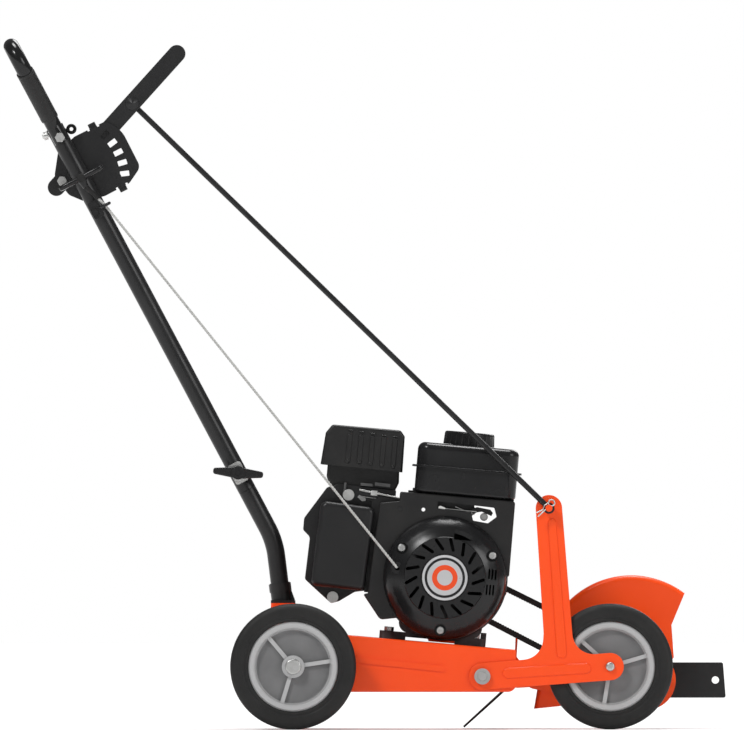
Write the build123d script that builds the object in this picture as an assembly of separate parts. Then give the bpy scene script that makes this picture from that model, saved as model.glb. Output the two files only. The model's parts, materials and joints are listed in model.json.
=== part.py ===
"""Walk-behind petrol lawn edger: pressed-steel deck, tilted 79 cc engine, belt-driven blade.

Millimetres. +X forward, +Y to the machine's left, +Z up, ground at Z = 0.
Places are worked out from the rear axle's foot on the ground, and every finished piece is moved
by ORIGIN_X so that the model's origin is the middle of its footprint.
"""
from build123d import *
import math
import os

# ---- driving dimensions -------------------------------------------------
ORIGIN_X = -102.5            # rear axle's place on the finished part
TILT = 5.0                   # deck and engine lean nose-down, degrees

WHEEL_R = 88.9               # 7 inch wheels
TYRE_W = 38.0
RIM_R = 63.5
AXLE_R = 6.35                # half-inch axle
RUNNING = 0.07               # radial clearance of a wheel, lever or shaft in its hole
REAR_TRACK_Y = 171.0         # middle of each rear wheel
FRONT_WHEEL = (447.5, WHEEL_R)
FRONT_WHEEL_Y = -99.0

STEEL = 3.0                  # gauge of the deck and brackets
DECK_Z = 140.0               # deck top above the rear axle
DECK_REAR, DECK_FRONT = -45.0, 315.0
DECK_BOTTOM = 53.0
DECK_RIGHT, DECK_LEFT = -120.0, 100.0

ARM_PIVOT = (267.0, 75.0)
ARM_TOP = (361.0, 312.5)
ARM_END_R = 19.0
ARM_Y = -121.0               # inner face of the wheel arm
ARM_PIN_R = 5.0

CRANK = (214.0, 214.3)
SPINDLE = (500.0, 69.0)
BELT_Y = 85.0                # middle plane of the belt
BELT_W, BELT_T = 8.0, 8.4
DRIVE_PITCH_R, SPINDLE_PITCH_R = 25.0, 28.0
SHAFT_R = 7.94               # five-eighths shafts

BLADE_L, BLADE_W, BLADE_T = 228.6, 50.3, 4.0
BLADE_Y = 163.0
GUARD_C, GUARD_R = (479.7, 92.1), 125.8
GUARD_Y = (104.0, 188.0)

STEM_R = 12.7                # one-inch handle tube
TUBE_WALL = 1.6
LOOP_R = 11.0
STEM_TOP = Vector(-399.0, 0, 966.0)        # crossbar centre
STEM_DIR = Vector(-0.4695, 0, 0.8829)      # up along the straight handle
STEM_ANGLE = math.degrees(math.atan2(0.4695, 0.8829))

LEVER_PIVOT = (-328.0, 776.5)
LEVER_ARM = 148.2            # pivot to rod hole
LEVER_ANGLE = 48.0           # above horizontal, deepest setting
LEVER_LENGTH = 243.0         # pivot to the centre of the rounded tip
LEVER_TAIL = 12.0            # pivot to the centre of the rounded lower end
LEVER_W = 24.6
ROD_HOLE_R = 8.4             # open pivot: the rod floats in this hole
ROD_R = 4.0
QUADRANT_Y = (12.7, 15.7)
LEVER_Y = (16.5, 20.5)
ROD_Y = 29.0                 # rod's inboard end, behind the lever

ROD_EYE_R = 8.0              # flattened end of the rod round the arm's pin
ROD_EYE_Y = (-136.5, -131.5)
FIRST_SLOT, SLOT_STEP = 47.2, 10.1           # depth slots, degrees at the lever pivot
SLOT_RADIUS, SLOT_L, SLOT_W = 89.4, 12.9, 7.4
KEEPER_ENDS = ((43.0, 77.5), (86.0, -9.5))   # from the lever pivot
KEEPER_W = 11.0

MOUNT_X, MOUNT_Y = (-72.0, 50.0), (-24.0, 44.0)      # engine bolts, engine frame
CARRIER_BOLTS = [(232, 105), (232, 78), (296, 72), (296, 100)]

SOCKET_FOOT = Vector(-16.6, 0, 182.5)
SOCKET_DIR = Vector(-0.1219, 0, 0.9925)
HANDLE_BEND = (-26.9, 0, 266.3)
HANDLE_BEND_R = 120.0
SEAM = 710.5                 # tube joint, below the crossbar
SPIGOT = 62.0
KNOB_DOWN = 683.2            # knob bolt, below the crossbar
KNOB_BOLT_R = 4.0
LOOP_BOLT_DOWN = 145.7
BOLT_R = 4.0
STEM_END = 128.0             # open top of the stem, below the crossbar
EYE_DOWN = 137.6             # eye bolt, below the crossbar
EYE_DIR = Vector(math.cos(math.radians(15.3)), 0, math.sin(math.radians(15.3)))
EYE_REACH, EYE_RING_R, EYE_SHANK_R = 20.5, 5.0, 3.0
LOOP_HALF = 110.0            # half the crossbar
LOOP_LEG_Y = STEM_R + LOOP_R
LOOP_FOOT, LOOP_SHOULDER = 153.0, 122.0
LOOP_CORNER_R = 26.0
LOOP_FOOT_R = 30.0
GRIP_SPAN = (0.335, 0.93)    # part of each leg that its sleeve covers

HOUSING_Y = (104.0, 150.0)
BEARING_R = 17.5
CASE_Y = (-36.0, 56.0)
CYL_ANGLE = 25.0             # barrel above horizontal, leaning back
CYL_Y = 12.0
SHROUD_Y = (-90.0, -40.0)
SHROUD_RING = 89.0
RECOIL_R = 87.0
SCREW_CIRCLE = 74.0
SCREW_ANGLES = (150, 30, 270)
ROPE_EXIT = (-68.3, 8.0)
TANK_X, TANK_Y = (-53.5, 89.7), (-88.0, 42.0)
TANK_Z = (118.0, 155.0, 188.9)               # floor, seam, top
CAP_AT, CAP_Z, CAP_R = (17.7, -26.0), (189.5, 208.0), 36.3

ROPE_R = 2.0
GUIDE_AT = (-266.3, -30.0, 741.6)
GRIP_AT = (-300.8, -30.0, 780.0)

os.makedirs("parts", exist_ok=True)


# ---- small helpers ------------------------------------------------------
def save(name, *solids):
    """Write one named piece, or a group of like pieces, as its own STEP file."""
    moved = [Pos(ORIGIN_X, 0, 0) * s for s in solids]
    shape = moved[0] if len(moved) == 1 else Compound(children=moved)
    export_step(shape, os.path.join("parts", name + ".step"))


def rod_y(r, y0, y1, at=(0, 0)):
    """Cylinder along Y between two planes, at a place (x, z)."""
    return Pos(at[0], (y0 + y1) / 2, at[1]) * Rot(90, 0, 0) * Cylinder(r, abs(y1 - y0))


def ring_y(r_out, r_in, y0, y1, at=(0, 0)):
    return rod_y(r_out, y0, y1, at) - rod_y(r_in, y0, y1, at)


def slab(face, y0, y1):
    """Extrude a face drawn in (x, z) between two Y planes."""
    return Pos(0, y1, 0) * extrude(Plane.XZ * face, amount=y1 - y0)


def outline(points, radii):
    """Closed face whose corners have their own radii."""
    return make_face(FilletPolyline(*points, radius=radii, close=True))


def disc(r, at=(0, 0)):
    return Pos(at[0], at[1]) * Circle(r)


def link(a, ra, b, rb):
    """Face round two discs, joined by their common tangents."""
    edges = [e for c, r in ((a, ra), (b, rb)) for e in disc(r, c).edges()]
    return make_face(make_hull(edges).edges())


def spin_y(profile):
    """Revolve a closed (radius, y) profile about the Y axis."""
    face = make_face(Polyline(*[(r, y, 0) for r, y in profile], close=True))
    return revolve(face, Axis.Y, 360)


def tube(path, r_out, r_in=0.0):
    """Round tube swept along a path of straight runs and arcs."""
    plane = Plane(origin=path @ 0, z_dir=path % 0)
    body = sweep(plane * Circle(r_out), path)
    if r_in:
        body = body - sweep(plane * Circle(r_in), path)
    return body


def straight(a, b, r):
    """Round bar between two points."""
    axis = Vector(*b) - Vector(*a)
    plane = Plane(origin=Vector(*a), z_dir=axis)
    return extrude(plane * Circle(r), amount=axis.length)


def on_stem(down, y=0.0):
    """Point on the handle's centre line, a distance below the crossbar."""
    p = STEM_TOP - STEM_DIR * down
    return Vector(p.X, y, p.Z)


def deck_top(x):
    return DECK_Z - x * math.tan(math.radians(TILT))


def from_lever(radius, angle):
    a = math.radians(angle)
    return (LEVER_PIVOT[0] + radius * math.cos(a), LEVER_PIVOT[1] + radius * math.sin(a))


def hex_bolt(at, y_head, y_end, r, head_r, head_h=6.0, nut_y=None):
    """Bolt along Y: domed hexagon head at y_head towards -Y, shank to y_end, optional nut."""
    hexagon = Pos(at[0], at[1]) * RegularPolygon(head_r, 6)
    head = slab(hexagon, y_head - head_h, y_head)
    crown = rod_y(head_r * 0.86, y_head - head_h - 1.0, y_head - head_h, at)
    bolt = head + crown + rod_y(r, y_head, y_end, at)
    if nut_y is None:
        return [bolt]
    nut = slab(hexagon, nut_y, nut_y + head_h) - rod_y(r, nut_y, nut_y + head_h, at)
    return [bolt, nut]


ENGINE = Location((CRANK[0], 0, CRANK[1]), (0, TILT, 0))     # engine frame: crank centre
BASE_Z = -(CRANK[1] - deck_top(CRANK[0])) * math.cos(math.radians(TILT))


# ---- deck, axle and handle ---------------------------------------------
def frame_deck():
    """Pressed channel: sloped top, two side flanges, rear wall and a mast for the handle."""
    corners = [(DECK_REAR, deck_top(DECK_REAR)), (DECK_FRONT, deck_top(DECK_FRONT)),
               (DECK_FRONT, DECK_BOTTOM), (DECK_REAR, DECK_BOTTOM)]
    side = outline(corners, [2, 2, 12, 20])
    shell = slab(side, DECK_RIGHT, DECK_LEFT)
    bends = shell.edges().filter_by(GeomType.LINE).filter_by(
        lambda e: abs(e.length - (DECK_FRONT - DECK_REAR)) < 12 and e.center().Z > 100)
    shell = fillet(bends, 2.5)
    inner = Pos(0, 0, -STEEL / math.cos(math.radians(TILT))) * slab(outline(
        [(DECK_REAR + STEEL, deck_top(DECK_REAR + STEEL)), (DECK_FRONT + 20, deck_top(DECK_FRONT + 20)),
         (DECK_FRONT + 20, 20), (DECK_REAR + STEEL, 20)], [2, 0, 0, 0]),
        DECK_RIGHT + STEEL, DECK_LEFT - STEEL)
    deck = shell - inner
    mast_h = 178.5 - 120
    mast = Pos(-14.5, 0, 178.5 - mast_h / 2) * Box(35, 50, mast_h)
    mast = fillet(mast.edges().filter_by(Axis.Z), 4)
    hollow = Pos(-14.5, 0, 178.5 - STEEL - mast_h / 2) * Box(29, 44, mast_h)
    deck = deck + (mast - inner) - hollow
    rib = link((91, 98.5), 4.2, (210, 86.0), 4.2)
    deck = deck + slab(rib, DECK_RIGHT - 2.0, DECK_RIGHT)
    deck = deck - rod_y(AXLE_R, -200, 200, (0, WHEEL_R)) - rod_y(ARM_PIN_R, -130, -110, ARM_PIVOT)
    for at in CARRIER_BOLTS:
        deck = deck - rod_y(4, 90, 110, at)
    for x in MOUNT_X:
        for y in MOUNT_Y:
            deck = deck - ENGINE * Pos(x, y, BASE_Z) * Cylinder(4.0, 20)
    return deck


def axle_parts():
    """Rear axle, spacer sleeves inside the wheels and push-on caps outside them."""
    at = (0, WHEEL_R)
    axle = rod_y(AXLE_R, -192, 192, at)
    sleeves = [ring_y(10.0, AXLE_R, s[0], s[1], at) for s in ((-150.4, -120), (100, 150.4))]
    caps = []
    for side in (-1, 1):
        cap = rod_y(10.9, side * 191.6, side * 196, at) - rod_y(AXLE_R, side * 191, side * 192, at)
        rim = cap.edges().filter_by(GeomType.CIRCLE).sort_by(lambda e: abs(e.center().Y))[-1]
        caps.append(fillet(rim, 1.8))
    return axle, sleeves + caps


def handle_socket():
    """Foot plate on the mast, sleeve round the tube's end and a front gusset."""
    foot = fillet((Pos(-14.7, 0, 180.5) * Box(34.9, 50, 4)).edges().filter_by(Axis.Z), 5)
    end = SOCKET_FOOT + SOCKET_DIR * 25
    sleeve = straight(SOCKET_FOOT, end, STEM_R + 1.8)
    band_a, band_b = SOCKET_FOOT + SOCKET_DIR * 12, SOCKET_FOOT + SOCKET_DIR * 24
    sleeve = sleeve + straight(band_a, band_b, STEM_R + 3.0)
    gusset = slab(outline([(-20, 182.5), (2.4, 182.5), (-6.0, 205), (-20, 205)], [0, 1, 2, 0]), -4, 4)
    foot_holes = [Pos(-14.7, y, 180.5) * Cylinder(3.2, 10) for y in (-20, 20)]
    body = foot + sleeve + gusset - straight(SOCKET_FOOT, end + SOCKET_DIR, STEM_R)
    return body - foot_holes[0] - foot_holes[1]


def lower_handle_tube():
    path = FilletPolyline(SOCKET_FOOT, HANDLE_BEND, on_stem(SEAM), radius=[HANDLE_BEND_R])
    bore = STEM_R - 2 * TUBE_WALL
    pipe = tube(path, STEM_R, bore)
    spigot = straight(on_stem(SEAM + 2), on_stem(SEAM - SPIGOT), STEM_R - TUBE_WALL)
    spigot = spigot - straight(on_stem(SEAM + 3), on_stem(SEAM - SPIGOT - 1), bore)
    return pipe + spigot - knob_hole()


def knob_hole():
    p = on_stem(KNOB_DOWN)
    return rod_y(KNOB_BOLT_R, -20, 20, (p.X, p.Z))


def loop_hole():
    p = on_stem(LOOP_BOLT_DOWN)
    return rod_y(BOLT_R, -60, 60, (p.X, p.Z))


def eye_hole():
    centre = on_stem(EYE_DOWN)
    return straight(centre - EYE_DIR * 30, centre + EYE_DIR * 30, EYE_SHANK_R)


def upper_handle_tube():
    pipe = straight(on_stem(SEAM), on_stem(STEM_END), STEM_R)
    pipe = pipe - straight(on_stem(SEAM + 1), on_stem(STEM_END + 3), STEM_R - TUBE_WALL)
    return pipe - knob_hole() - loop_hole() - eye_hole()


def handle_loop():
    """Triangular D loop whose two legs clamp the sides of the stem."""
    corners = [on_stem(LOOP_FOOT, -LOOP_LEG_Y), on_stem(LOOP_SHOULDER, -LOOP_LEG_Y),
               on_stem(0, -LOOP_HALF), on_stem(0, LOOP_HALF),
               on_stem(LOOP_SHOULDER, LOOP_LEG_Y), on_stem(LOOP_FOOT, LOOP_LEG_Y)]
    path = FilletPolyline(*corners, radius=[LOOP_FOOT_R, LOOP_CORNER_R, LOOP_CORNER_R, LOOP_FOOT_R])
    return tube(path, LOOP_R, LOOP_R - TUBE_WALL) - loop_hole()


def loop_grips():
    """Soft sleeves on the straight part of each loop leg."""
    grips = []
    for side in (-1, 1):
        top, foot = on_stem(0, side * LOOP_HALF), on_stem(LOOP_SHOULDER, side * LOOP_LEG_Y)
        leg = foot - top
        a, b = top + leg * GRIP_SPAN[0], top + leg * GRIP_SPAN[1]
        grips.append(straight(a, b, STEM_R) - straight(a, b, LOOP_R))
    return grips


def eye_bolt():
    """Eye bolt across the stem: nut behind, ring in front."""
    centre = on_stem(EYE_DOWN)
    eye_at = centre + EYE_DIR * EYE_REACH
    shank = straight(centre - EYE_DIR * 22, eye_at - EYE_DIR * EYE_RING_R, EYE_SHANK_R)
    eye = Pos(eye_at.X, 0, eye_at.Z) * Rot(90, 0, 0) * Torus(EYE_RING_R, 2.4)
    nut_a, nut_b = centre - EYE_DIR * 20, centre - EYE_DIR * 14.3
    return shank + eye + straight(nut_a, nut_b, 5.8)


def knob_saddle():
    """Curved washer under the knob, and the carriage bolt through it."""
    p = on_stem(KNOB_DOWN)
    block = Pos(p.X, -13.5, p.Z) * Rot(0, -STEM_ANGLE, 0) * Box(20, 7, 30)
    block = fillet(block.edges().filter_by(Axis.Y), 4) - straight(on_stem(KNOB_DOWN + 30),
                                                                on_stem(KNOB_DOWN - 30), STEM_R)
    block = block - rod_y(KNOB_BOLT_R, -40, 40, (p.X, p.Z))
    bolt = rod_y(KNOB_BOLT_R, -30, 13, (p.X, p.Z)) + rod_y(8, 12.9, 16, (p.X, p.Z))
    return [block, bolt]


def handle_knob():
    """Two-winged knob on the carriage bolt."""
    p = on_stem(KNOB_DOWN)
    wings = outline([(-35.5, -4.2), (0, -8.4), (35.5, -4.2), (35.5, 4.2), (0, 8.4), (-35.5, 4.2)],
                    [3.5, 20, 3.5, 3.5, 20, 3.5])
    bar = slab(wings, -33, -21)
    bar = fillet(bar.edges().filter_by(lambda e: abs(e.center().Y + 33) < 0.01), 2.0)
    boss = rod_y(9.5, -35, -17.4)
    bore = rod_y(KNOB_BOLT_R + RUNNING, -31, -17)
    cap = rod_y(4.6, -35.5, -33.5)
    return Pos(p.X, 0, p.Z) * Rot(0, 5, 0) * (bar + boss - bore - cap)


# ---- depth control ------------------------------------------------------
def keeper_frame():
    """Middle of the keeper strap, turned along it, and its length between end centres."""
    (x0, z0), (x1, z1) = KEEPER_ENDS
    length, angle = math.hypot(x1 - x0, z1 - z0), math.degrees(math.atan2(z1 - z0, x1 - x0))
    mid = Pos(LEVER_PIVOT[0] + (x0 + x1) / 2, 0, LEVER_PIVOT[1] + (z0 + z1) / 2) * Rot(0, -angle, 0)
    return mid, length


def depth_quadrant():
    """Slotted plate on the left of the stem, with one slot for each depth."""
    corners = [(17.4, 62.8), (60.9, 84.6), (83.9, 73.3), (111.2, 19.8), (95.4, -3.1),
               (60.9, -21.3), (31.2, -28.9), (9.9, -19.8), (-10.9, 5.7), (-5.7, 41.1)]
    radii = [5, 10, 40, 13, 8, 20, 12, 12, 12, 10]
    face = outline([(LEVER_PIVOT[0] + x, LEVER_PIVOT[1] + z) for x, z in corners], radii)
    plate = slab(face, *QUADRANT_Y)
    for i in range(5):
        angle = FIRST_SLOT - i * SLOT_STEP
        at = from_lever(SLOT_RADIUS, angle)
        slot = Pos(*at) * Rot(0, 0, angle) * RectangleRounded(SLOT_L, SLOT_W, 0.8)
        plate = plate - slab(slot, 0, 40)
    mid, length = keeper_frame()
    for end in (-1, 1):
        for side in (-1, 1):
            notch = Pos(end * (length / 2 + 2), 14, side * (KEEPER_W / 2 + 2)) * Box(12, 10, 3)
            plate = plate - mid * notch
    plate = plate - rod_y(BOLT_R, 0, 40, LEVER_PIVOT)
    return plate


def lever_keeper():
    """Strap behind the lever that holds it against the plate, joggled at both ends."""
    mid, length = keeper_frame()
    strap = Pos(0, 23.2, 0) * Box(length + 10, 2.4, KEEPER_W)
    feet = [Pos(side * (length / 2 - 1), 18.85, 0) * Box(10, 6.3, KEEPER_W) for side in (-1, 1)]
    return mid * (strap + feet[0] + feet[1])


def depth_lever():
    tip = from_lever(LEVER_LENGTH, LEVER_ANGLE)
    tail = from_lever(-LEVER_TAIL, LEVER_ANGLE)
    lever = slab(link(tail, LEVER_W / 2, tip, LEVER_W / 2), *LEVER_Y)
    lever = lever - rod_y(BOLT_R + RUNNING, 0, 40, LEVER_PIVOT)
    lever = lever - rod_y(ROD_HOLE_R, 0, 40, from_lever(LEVER_ARM, LEVER_ANGLE))
    faces = lever.edges().filter_by(lambda e: e.length > 30)
    return fillet(faces, 0.8)


def depth_rod():
    """Bent at the lever, flattened to an eye at the wheel arm."""
    x, z = from_lever(LEVER_ARM, LEVER_ANGLE)
    mid_y = sum(ROD_EYE_Y) / 2
    path = FilletPolyline((x, LEVER_Y[0] + 0.3, z), (x, ROD_Y, z), (ARM_TOP[0], mid_y, ARM_TOP[1]),
                          radius=[6])
    bar = tube(path, ROD_R)
    eye = rod_y(ROD_EYE_R, *ROD_EYE_Y, ARM_TOP)
    return bar + eye - rod_y(ARM_PIN_R + RUNNING, -150, -110, ARM_TOP)


def wheel_arm():
    """Stamped bell crank: pivot boss, upright with a rib, forward limb with a rib, rod pin."""
    limb = link(ARM_PIVOT, ARM_END_R, FRONT_WHEEL, ARM_END_R + 0.3)
    upright = make_face(Polyline((342.3, 312), (353.5, 136), (350, 80), (400, 80), (394, 136),
                                 (379.7, 312), close=True))
    face = limb + upright + disc(18.7, ARM_TOP)
    inner_corners = face.vertices().filter_by(
        lambda v: 95 < v.Y < 115 and 330 < v.X < 410)
    face = fillet(inner_corners, 30)
    plate = slab(face, ARM_Y - STEEL, ARM_Y)
    front = ARM_Y - STEEL
    rib_v = slab(link((365.5, 292), 6.0, (379, 108), 7.5), front - 2.2, front)
    rib_h = slab(link((303, 79.5), 7.6, (413, 86.5), 7.6), front - 2.2, front)
    ribs = rib_v + rib_h
    crest = ribs.edges().filter_by(lambda e: abs(e.center().Y - (front - 2.2)) < 0.01)
    ribs = chamfer(crest, 1.4)
    pin = rod_y(ARM_PIN_R, front - 23, front, ARM_TOP)
    arm = plate + ribs + pin
    for at, r in ((ARM_PIVOT, ARM_PIN_R + RUNNING), (FRONT_WHEEL, AXLE_R)):
        arm = arm - rod_y(r, -140, -110, at)
    return arm


def rod_clip():
    """Hairpin clip through the rod pin: a ring, one straight leg and one sprung leg."""
    x, z = ARM_TOP
    y = -142.0
    ring = Pos(x + 3.5, y, z + 7.5) * Rot(90, 0, 0) * Torus(4.4, 1.1)
    leg = straight((x + 1.2, y, z + 4.1), (x - 15.5, y, z - 12.0), 1.1)
    sprung = tube(FilletPolyline((x - 0.6, y, z + 8.0), (x - 6.5, y, z + 3.5), (x - 8.5, y, z - 2.0),
                                 (x - 17.5, y, z - 6.5), radius=[3, 3]), 1.1)
    return ring + leg + sprung


# ---- wheels -------------------------------------------------------------
def tyre():
    half = TYRE_W / 2
    body = rod_y(WHEEL_R, -half, half) - rod_y(RIM_R, -half, half)
    circles = body.edges().filter_by(GeomType.CIRCLE)
    shoulders = circles.filter_by(lambda e: abs(e.radius - WHEEL_R) < 0.01)
    body = fillet(shoulders, 9)
    beads = body.edges().filter_by(GeomType.CIRCLE).filter_by(lambda e: abs(e.radius - RIM_R) < 0.01)
    return fillet(beads, 1.5)


def rim():
    """Dished plastic wheel: outer band, recessed disc, hub and three thin spokes."""
    profile = [(AXLE_R + RUNNING, -20.5), (12, -20.5), (16, -17), (16, -8), (50, -8), (52.6, -10),
               (54, -16.5), (56, -18), (61, -18), (RIM_R, -15.5), (RIM_R, 16), (59, 18), (55, 12),
               (53, -3), (16, -3), (16, 18), (13, 20.5), (AXLE_R + RUNNING, 20.5)]
    body = spin_y(profile)
    for angle in (8.5, 130, 253):
        spoke = Pos(34, -10.5, 0) * Box(42, 5.4, 5.7)
        body = body + Rot(0, -angle, 0) * spoke
    return body


def wheels():
    """Place the tyre and the rim at the three wheels; the dish always faces outwards."""
    places = {
        "rear_{}_right": Pos(0, -REAR_TRACK_Y, WHEEL_R),
        "rear_{}_left": Pos(0, REAR_TRACK_Y, WHEEL_R) * Rot(0, 0, 180),
        "front_{}": Pos(FRONT_WHEEL[0], FRONT_WHEEL_Y, FRONT_WHEEL[1]) * Rot(0, -8, 0),
    }
    tyre_body, rim_body = tyre(), rim()
    for name, place in places.items():
        save(name.format("tyre"), place * tyre_body)
        save(name.format("rim"), place * rim_body)


def front_axle_bolt():
    head = rod_y(6.5, -130.0, -124.0, FRONT_WHEEL)
    dome = head.edges().filter_by(GeomType.CIRCLE).sort_by(Axis.Y)[0]
    washer = ring_y(9.0, AXLE_R, -120.9, -119.8, FRONT_WHEEL)
    shank = rod_y(AXLE_R, -124.0, -70, FRONT_WHEEL)
    nut = slab(Pos(*FRONT_WHEEL) * RegularPolygon(10, 6), -77.5, -70)
    return fillet(dome, 3.0) + shank + washer + nut


# ---- blade drive --------------------------------------------------------
def spindle_carrier():
    """Forward beam bolted to the left of the deck, with a round lobe for the bearing housing."""
    beam = link((345, 76), 20, SPINDLE, 42.5)
    heel = outline([(210, 116), (314, 106), (322, 95), (352, 94), (352, 60), (318, 58), (210, 66)],
                   [8, 4, 4, 4, 4, 8, 8])
    y0, y1 = DECK_LEFT, DECK_LEFT + 4
    plate = slab(beam + heel, y0, y1) - rod_y(14, 90, 110, SPINDLE)
    flange = Pos(316, y0 + 9.5, 118) * Rot(0, 3, 0) * Box(3, 19, 38)
    for at in CARRIER_BOLTS:
        plate = plate - rod_y(4, 90, 110, at)
    return plate + flange


def bearing_housing():
    tube_part = ring_y(24, BEARING_R, *HOUSING_Y, SPINDLE)
    step = ring_y(BEARING_R, 12, HOUSING_Y[0] + 12, HOUSING_Y[1] - 12, SPINDLE)
    flange = slab(disc(37, SPINDLE), HOUSING_Y[0], HOUSING_Y[0] + 6) - rod_y(BEARING_R, 90, 160, SPINDLE)
    return tube_part + step + flange


def spindle_bearings():
    out = []
    for y0 in (HOUSING_Y[0], HOUSING_Y[1] - 12):
        out.append(ring_y(BEARING_R, SHAFT_R + RUNNING, y0 + 0.5, y0 + 12, SPINDLE))
    return out


def grooved_pulley(pitch_r, at, bore_r):
    """V-belt pulley: two flanges and a groove that clears the belt."""
    floor = pitch_r - BELT_T / 2 - 0.6
    flange_r = pitch_r + BELT_T / 2 + 1.2
    half = BELT_W / 2 + 0.8
    body = rod_y(floor, BELT_Y - half - 3, BELT_Y + half + 3, at)
    for y0 in (BELT_Y - half - 3, BELT_Y + half):
        body = body + rod_y(flange_r, y0, y0 + 3, at)
    hub = rod_y(14, BELT_Y - half - 8, BELT_Y + half + 3, at)
    return body + hub - rod_y(bore_r, 0, 200, at)


def drive_belt():
    outer = link(CRANK, DRIVE_PITCH_R + BELT_T / 2, SPINDLE, SPINDLE_PITCH_R + BELT_T / 2)
    inner = link(CRANK, DRIVE_PITCH_R - BELT_T / 2, SPINDLE, SPINDLE_PITCH_R - BELT_T / 2)
    return slab(outer - inner, BELT_Y - BELT_W / 2, BELT_Y + BELT_W / 2)


def spindle_shaft():
    """Shaft with a shoulder inside the blade and a thread at each end."""
    shaft = rod_y(SHAFT_R, 74, BLADE_Y + 17, SPINDLE)
    return shaft + rod_y(13, HOUSING_Y[1] + 2, BLADE_Y, SPINDLE)


def blade():
    """Straight edger blade with slightly raked ends and a hole near each tip."""
    half, w = BLADE_L / 2, BLADE_W / 2
    face = outline([(-half, w), (half - 4, w), (half, -w), (-half + 4, -w)], [3, 3, 3, 3])
    bar = slab(face, BLADE_Y, BLADE_Y + BLADE_T)
    outer_y = BLADE_Y + BLADE_T
    long_edges = bar.edges().filter_by(Axis.X).filter_by(lambda e: abs(e.center().Y - outer_y) < 0.01)
    bar = chamfer(long_edges, 1.5)
    for x in (-half + 14.8, half - 14.8):
        bar = bar - rod_y(5.2, BLADE_Y - 1, BLADE_Y + 9, (x, 0))
    bar = Pos(SPINDLE[0], 0, SPINDLE[1]) * bar
    return bar - rod_y(SHAFT_R, 100, 200, SPINDLE)


def blade_nut():
    """Thick washer and locking nut outside the blade."""
    y0 = BLADE_Y + BLADE_T
    washer = rod_y(19, y0, y0 + 3, SPINDLE)
    nut = slab(Pos(*SPINDLE) * RegularPolygon(13, 6), y0 + 3, y0 + 12)
    return washer + nut - rod_y(SHAFT_R, y0 - 1, y0 + 20, SPINDLE)


def guard_outline(inset):
    """Guard seen from the side: rear wall, round top, front cut; open inside edges run past."""
    cx, cz = GUARD_C
    r = GUARD_R - inset
    over = 60 if inset else 0

    def on_arc(angle):
        a = math.radians(angle)
        return (cx + r * math.cos(a), cz + r * math.sin(a))
    rear, top, front = on_arc(174), on_arc(100), on_arc(53.1 - (14 if inset else 0))
    foot = (341.6 + inset, 28.3 - over)
    arc = ThreePointArc(rear, top, front)
    if inset:
        rest = Polyline(front, (front[0] + over, 100), (560, 28.3 - over), foot, rear)
    else:
        rest = Polyline(front, (536.4, 147.4), (539.8, 101.6), (515, 60), (455, 46), (376.2, 31.9),
                        foot, rear)
    return make_face(arc.edges() + rest.edges())


def blade_guard():
    """Fender over the blade: flat inner wall and a curved band, joined by a rounded edge."""
    body = slab(guard_outline(0), *GUARD_Y)
    y0 = GUARD_Y[0]
    rounded = body.edges().filter_by(lambda e: abs(e.center().Y - y0) < 0.01).filter_by(
        lambda e: e.geom_type == GeomType.CIRCLE or (e.center().X < 352 and e.length > 40))
    body = fillet(rounded, 7)
    cavity = slab(guard_outline(2.5), y0 + 2.5, GUARD_Y[1] + 10)
    body = body - cavity
    return body - rod_y(38, 90, 120, SPINDLE)


def debris_flap():
    """Rubber flap that trails to the ground from the guard's rear wall."""
    top, foot = (345.2, 97.0), (241.5, 2.6)
    dx, dz = top[0] - foot[0], top[1] - foot[1]
    run = math.hypot(dx, dz)
    nx, nz = -dz / run * 1.3, dx / run * 1.3
    face = make_face(Polyline((top[0] + nx, top[1] + nz), (top[0] - nx, top[1] - nz),
                              (foot[0] - nx, foot[1] - nz), (foot[0] + nx, foot[1] + nz), close=True))
    return slab(face, GUARD_Y[0] + 3, GUARD_Y[1] - 2)


def belt_guard():
    """Cover outside the engine pulley, with a rolled edge over the belt and a foot on the deck."""
    face = outline([(168, 262), (252, 252), (304.6, 224), (302, 190), (262, 160), (236, 150),
                    (236, 122), (190, 126), (190, 150), (166, 190)],
                   [34, 24, 10, 8, 10, 6, 2, 2, 12, 20])
    plate = slab(face, 112, 114.5)
    cover = slab(face, 98, 114.5)
    inner = slab(offset(face, -2.5), 90, 112)
    shell = cover - inner
    low = Pos(230, 105, 100) * Box(220, 13.6, 174)
    foot = Pos(213, 106.2, 123.6) * Rot(0, TILT, 0) * Box(44, 16.6, 2.5)
    return (shell - low) + plate + foot


# ---- engine -------------------------------------------------------------
def crankcase():
    """Hollow cast case with two feet, an arch between them and a round cover on the drive side."""
    y0, y1 = CASE_Y
    depth, mid = y1 - y0, (y0 + y1) / 2
    block = Pos(0, mid, -16) * Box(118, depth, 132)
    block = fillet(block.edges().filter_by(Axis.Y), 14)
    foot = Pos(-9.5, mid, BASE_Z + 5.5) * Box(151, depth, 11)
    foot = fillet(foot.edges().filter_by(Axis.Z), 8)
    body = block + foot + Pos(62, mid, -80) * Box(8, 40, 14)
    body = body - Pos(-13, mid, BASE_Z) * Box(70, depth + 4, 9)
    body = body + rod_y(46, y1, y1 + 6)
    body = body - Pos(0, mid, -8) * Box(92, depth - 24, 96)
    body = body - rod_y(17.5, y0 - 5, y0 + 12) - rod_y(17.5, y1 - 12, y1 + 8)
    for i in range(6):
        a = math.radians(60 * i + 30)
        body = body + rod_y(4.5, y1 + 6, y1 + 10, (39 * math.cos(a), 39 * math.sin(a)))
    for x in MOUNT_X:
        for y in MOUNT_Y:
            body = body - Pos(x, y, BASE_Z + 5) * Cylinder(4.0, 30)
            body = body - Pos(x + 3, y, BASE_Z + 23) * Box(22, 18, 24)
    return body


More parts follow.
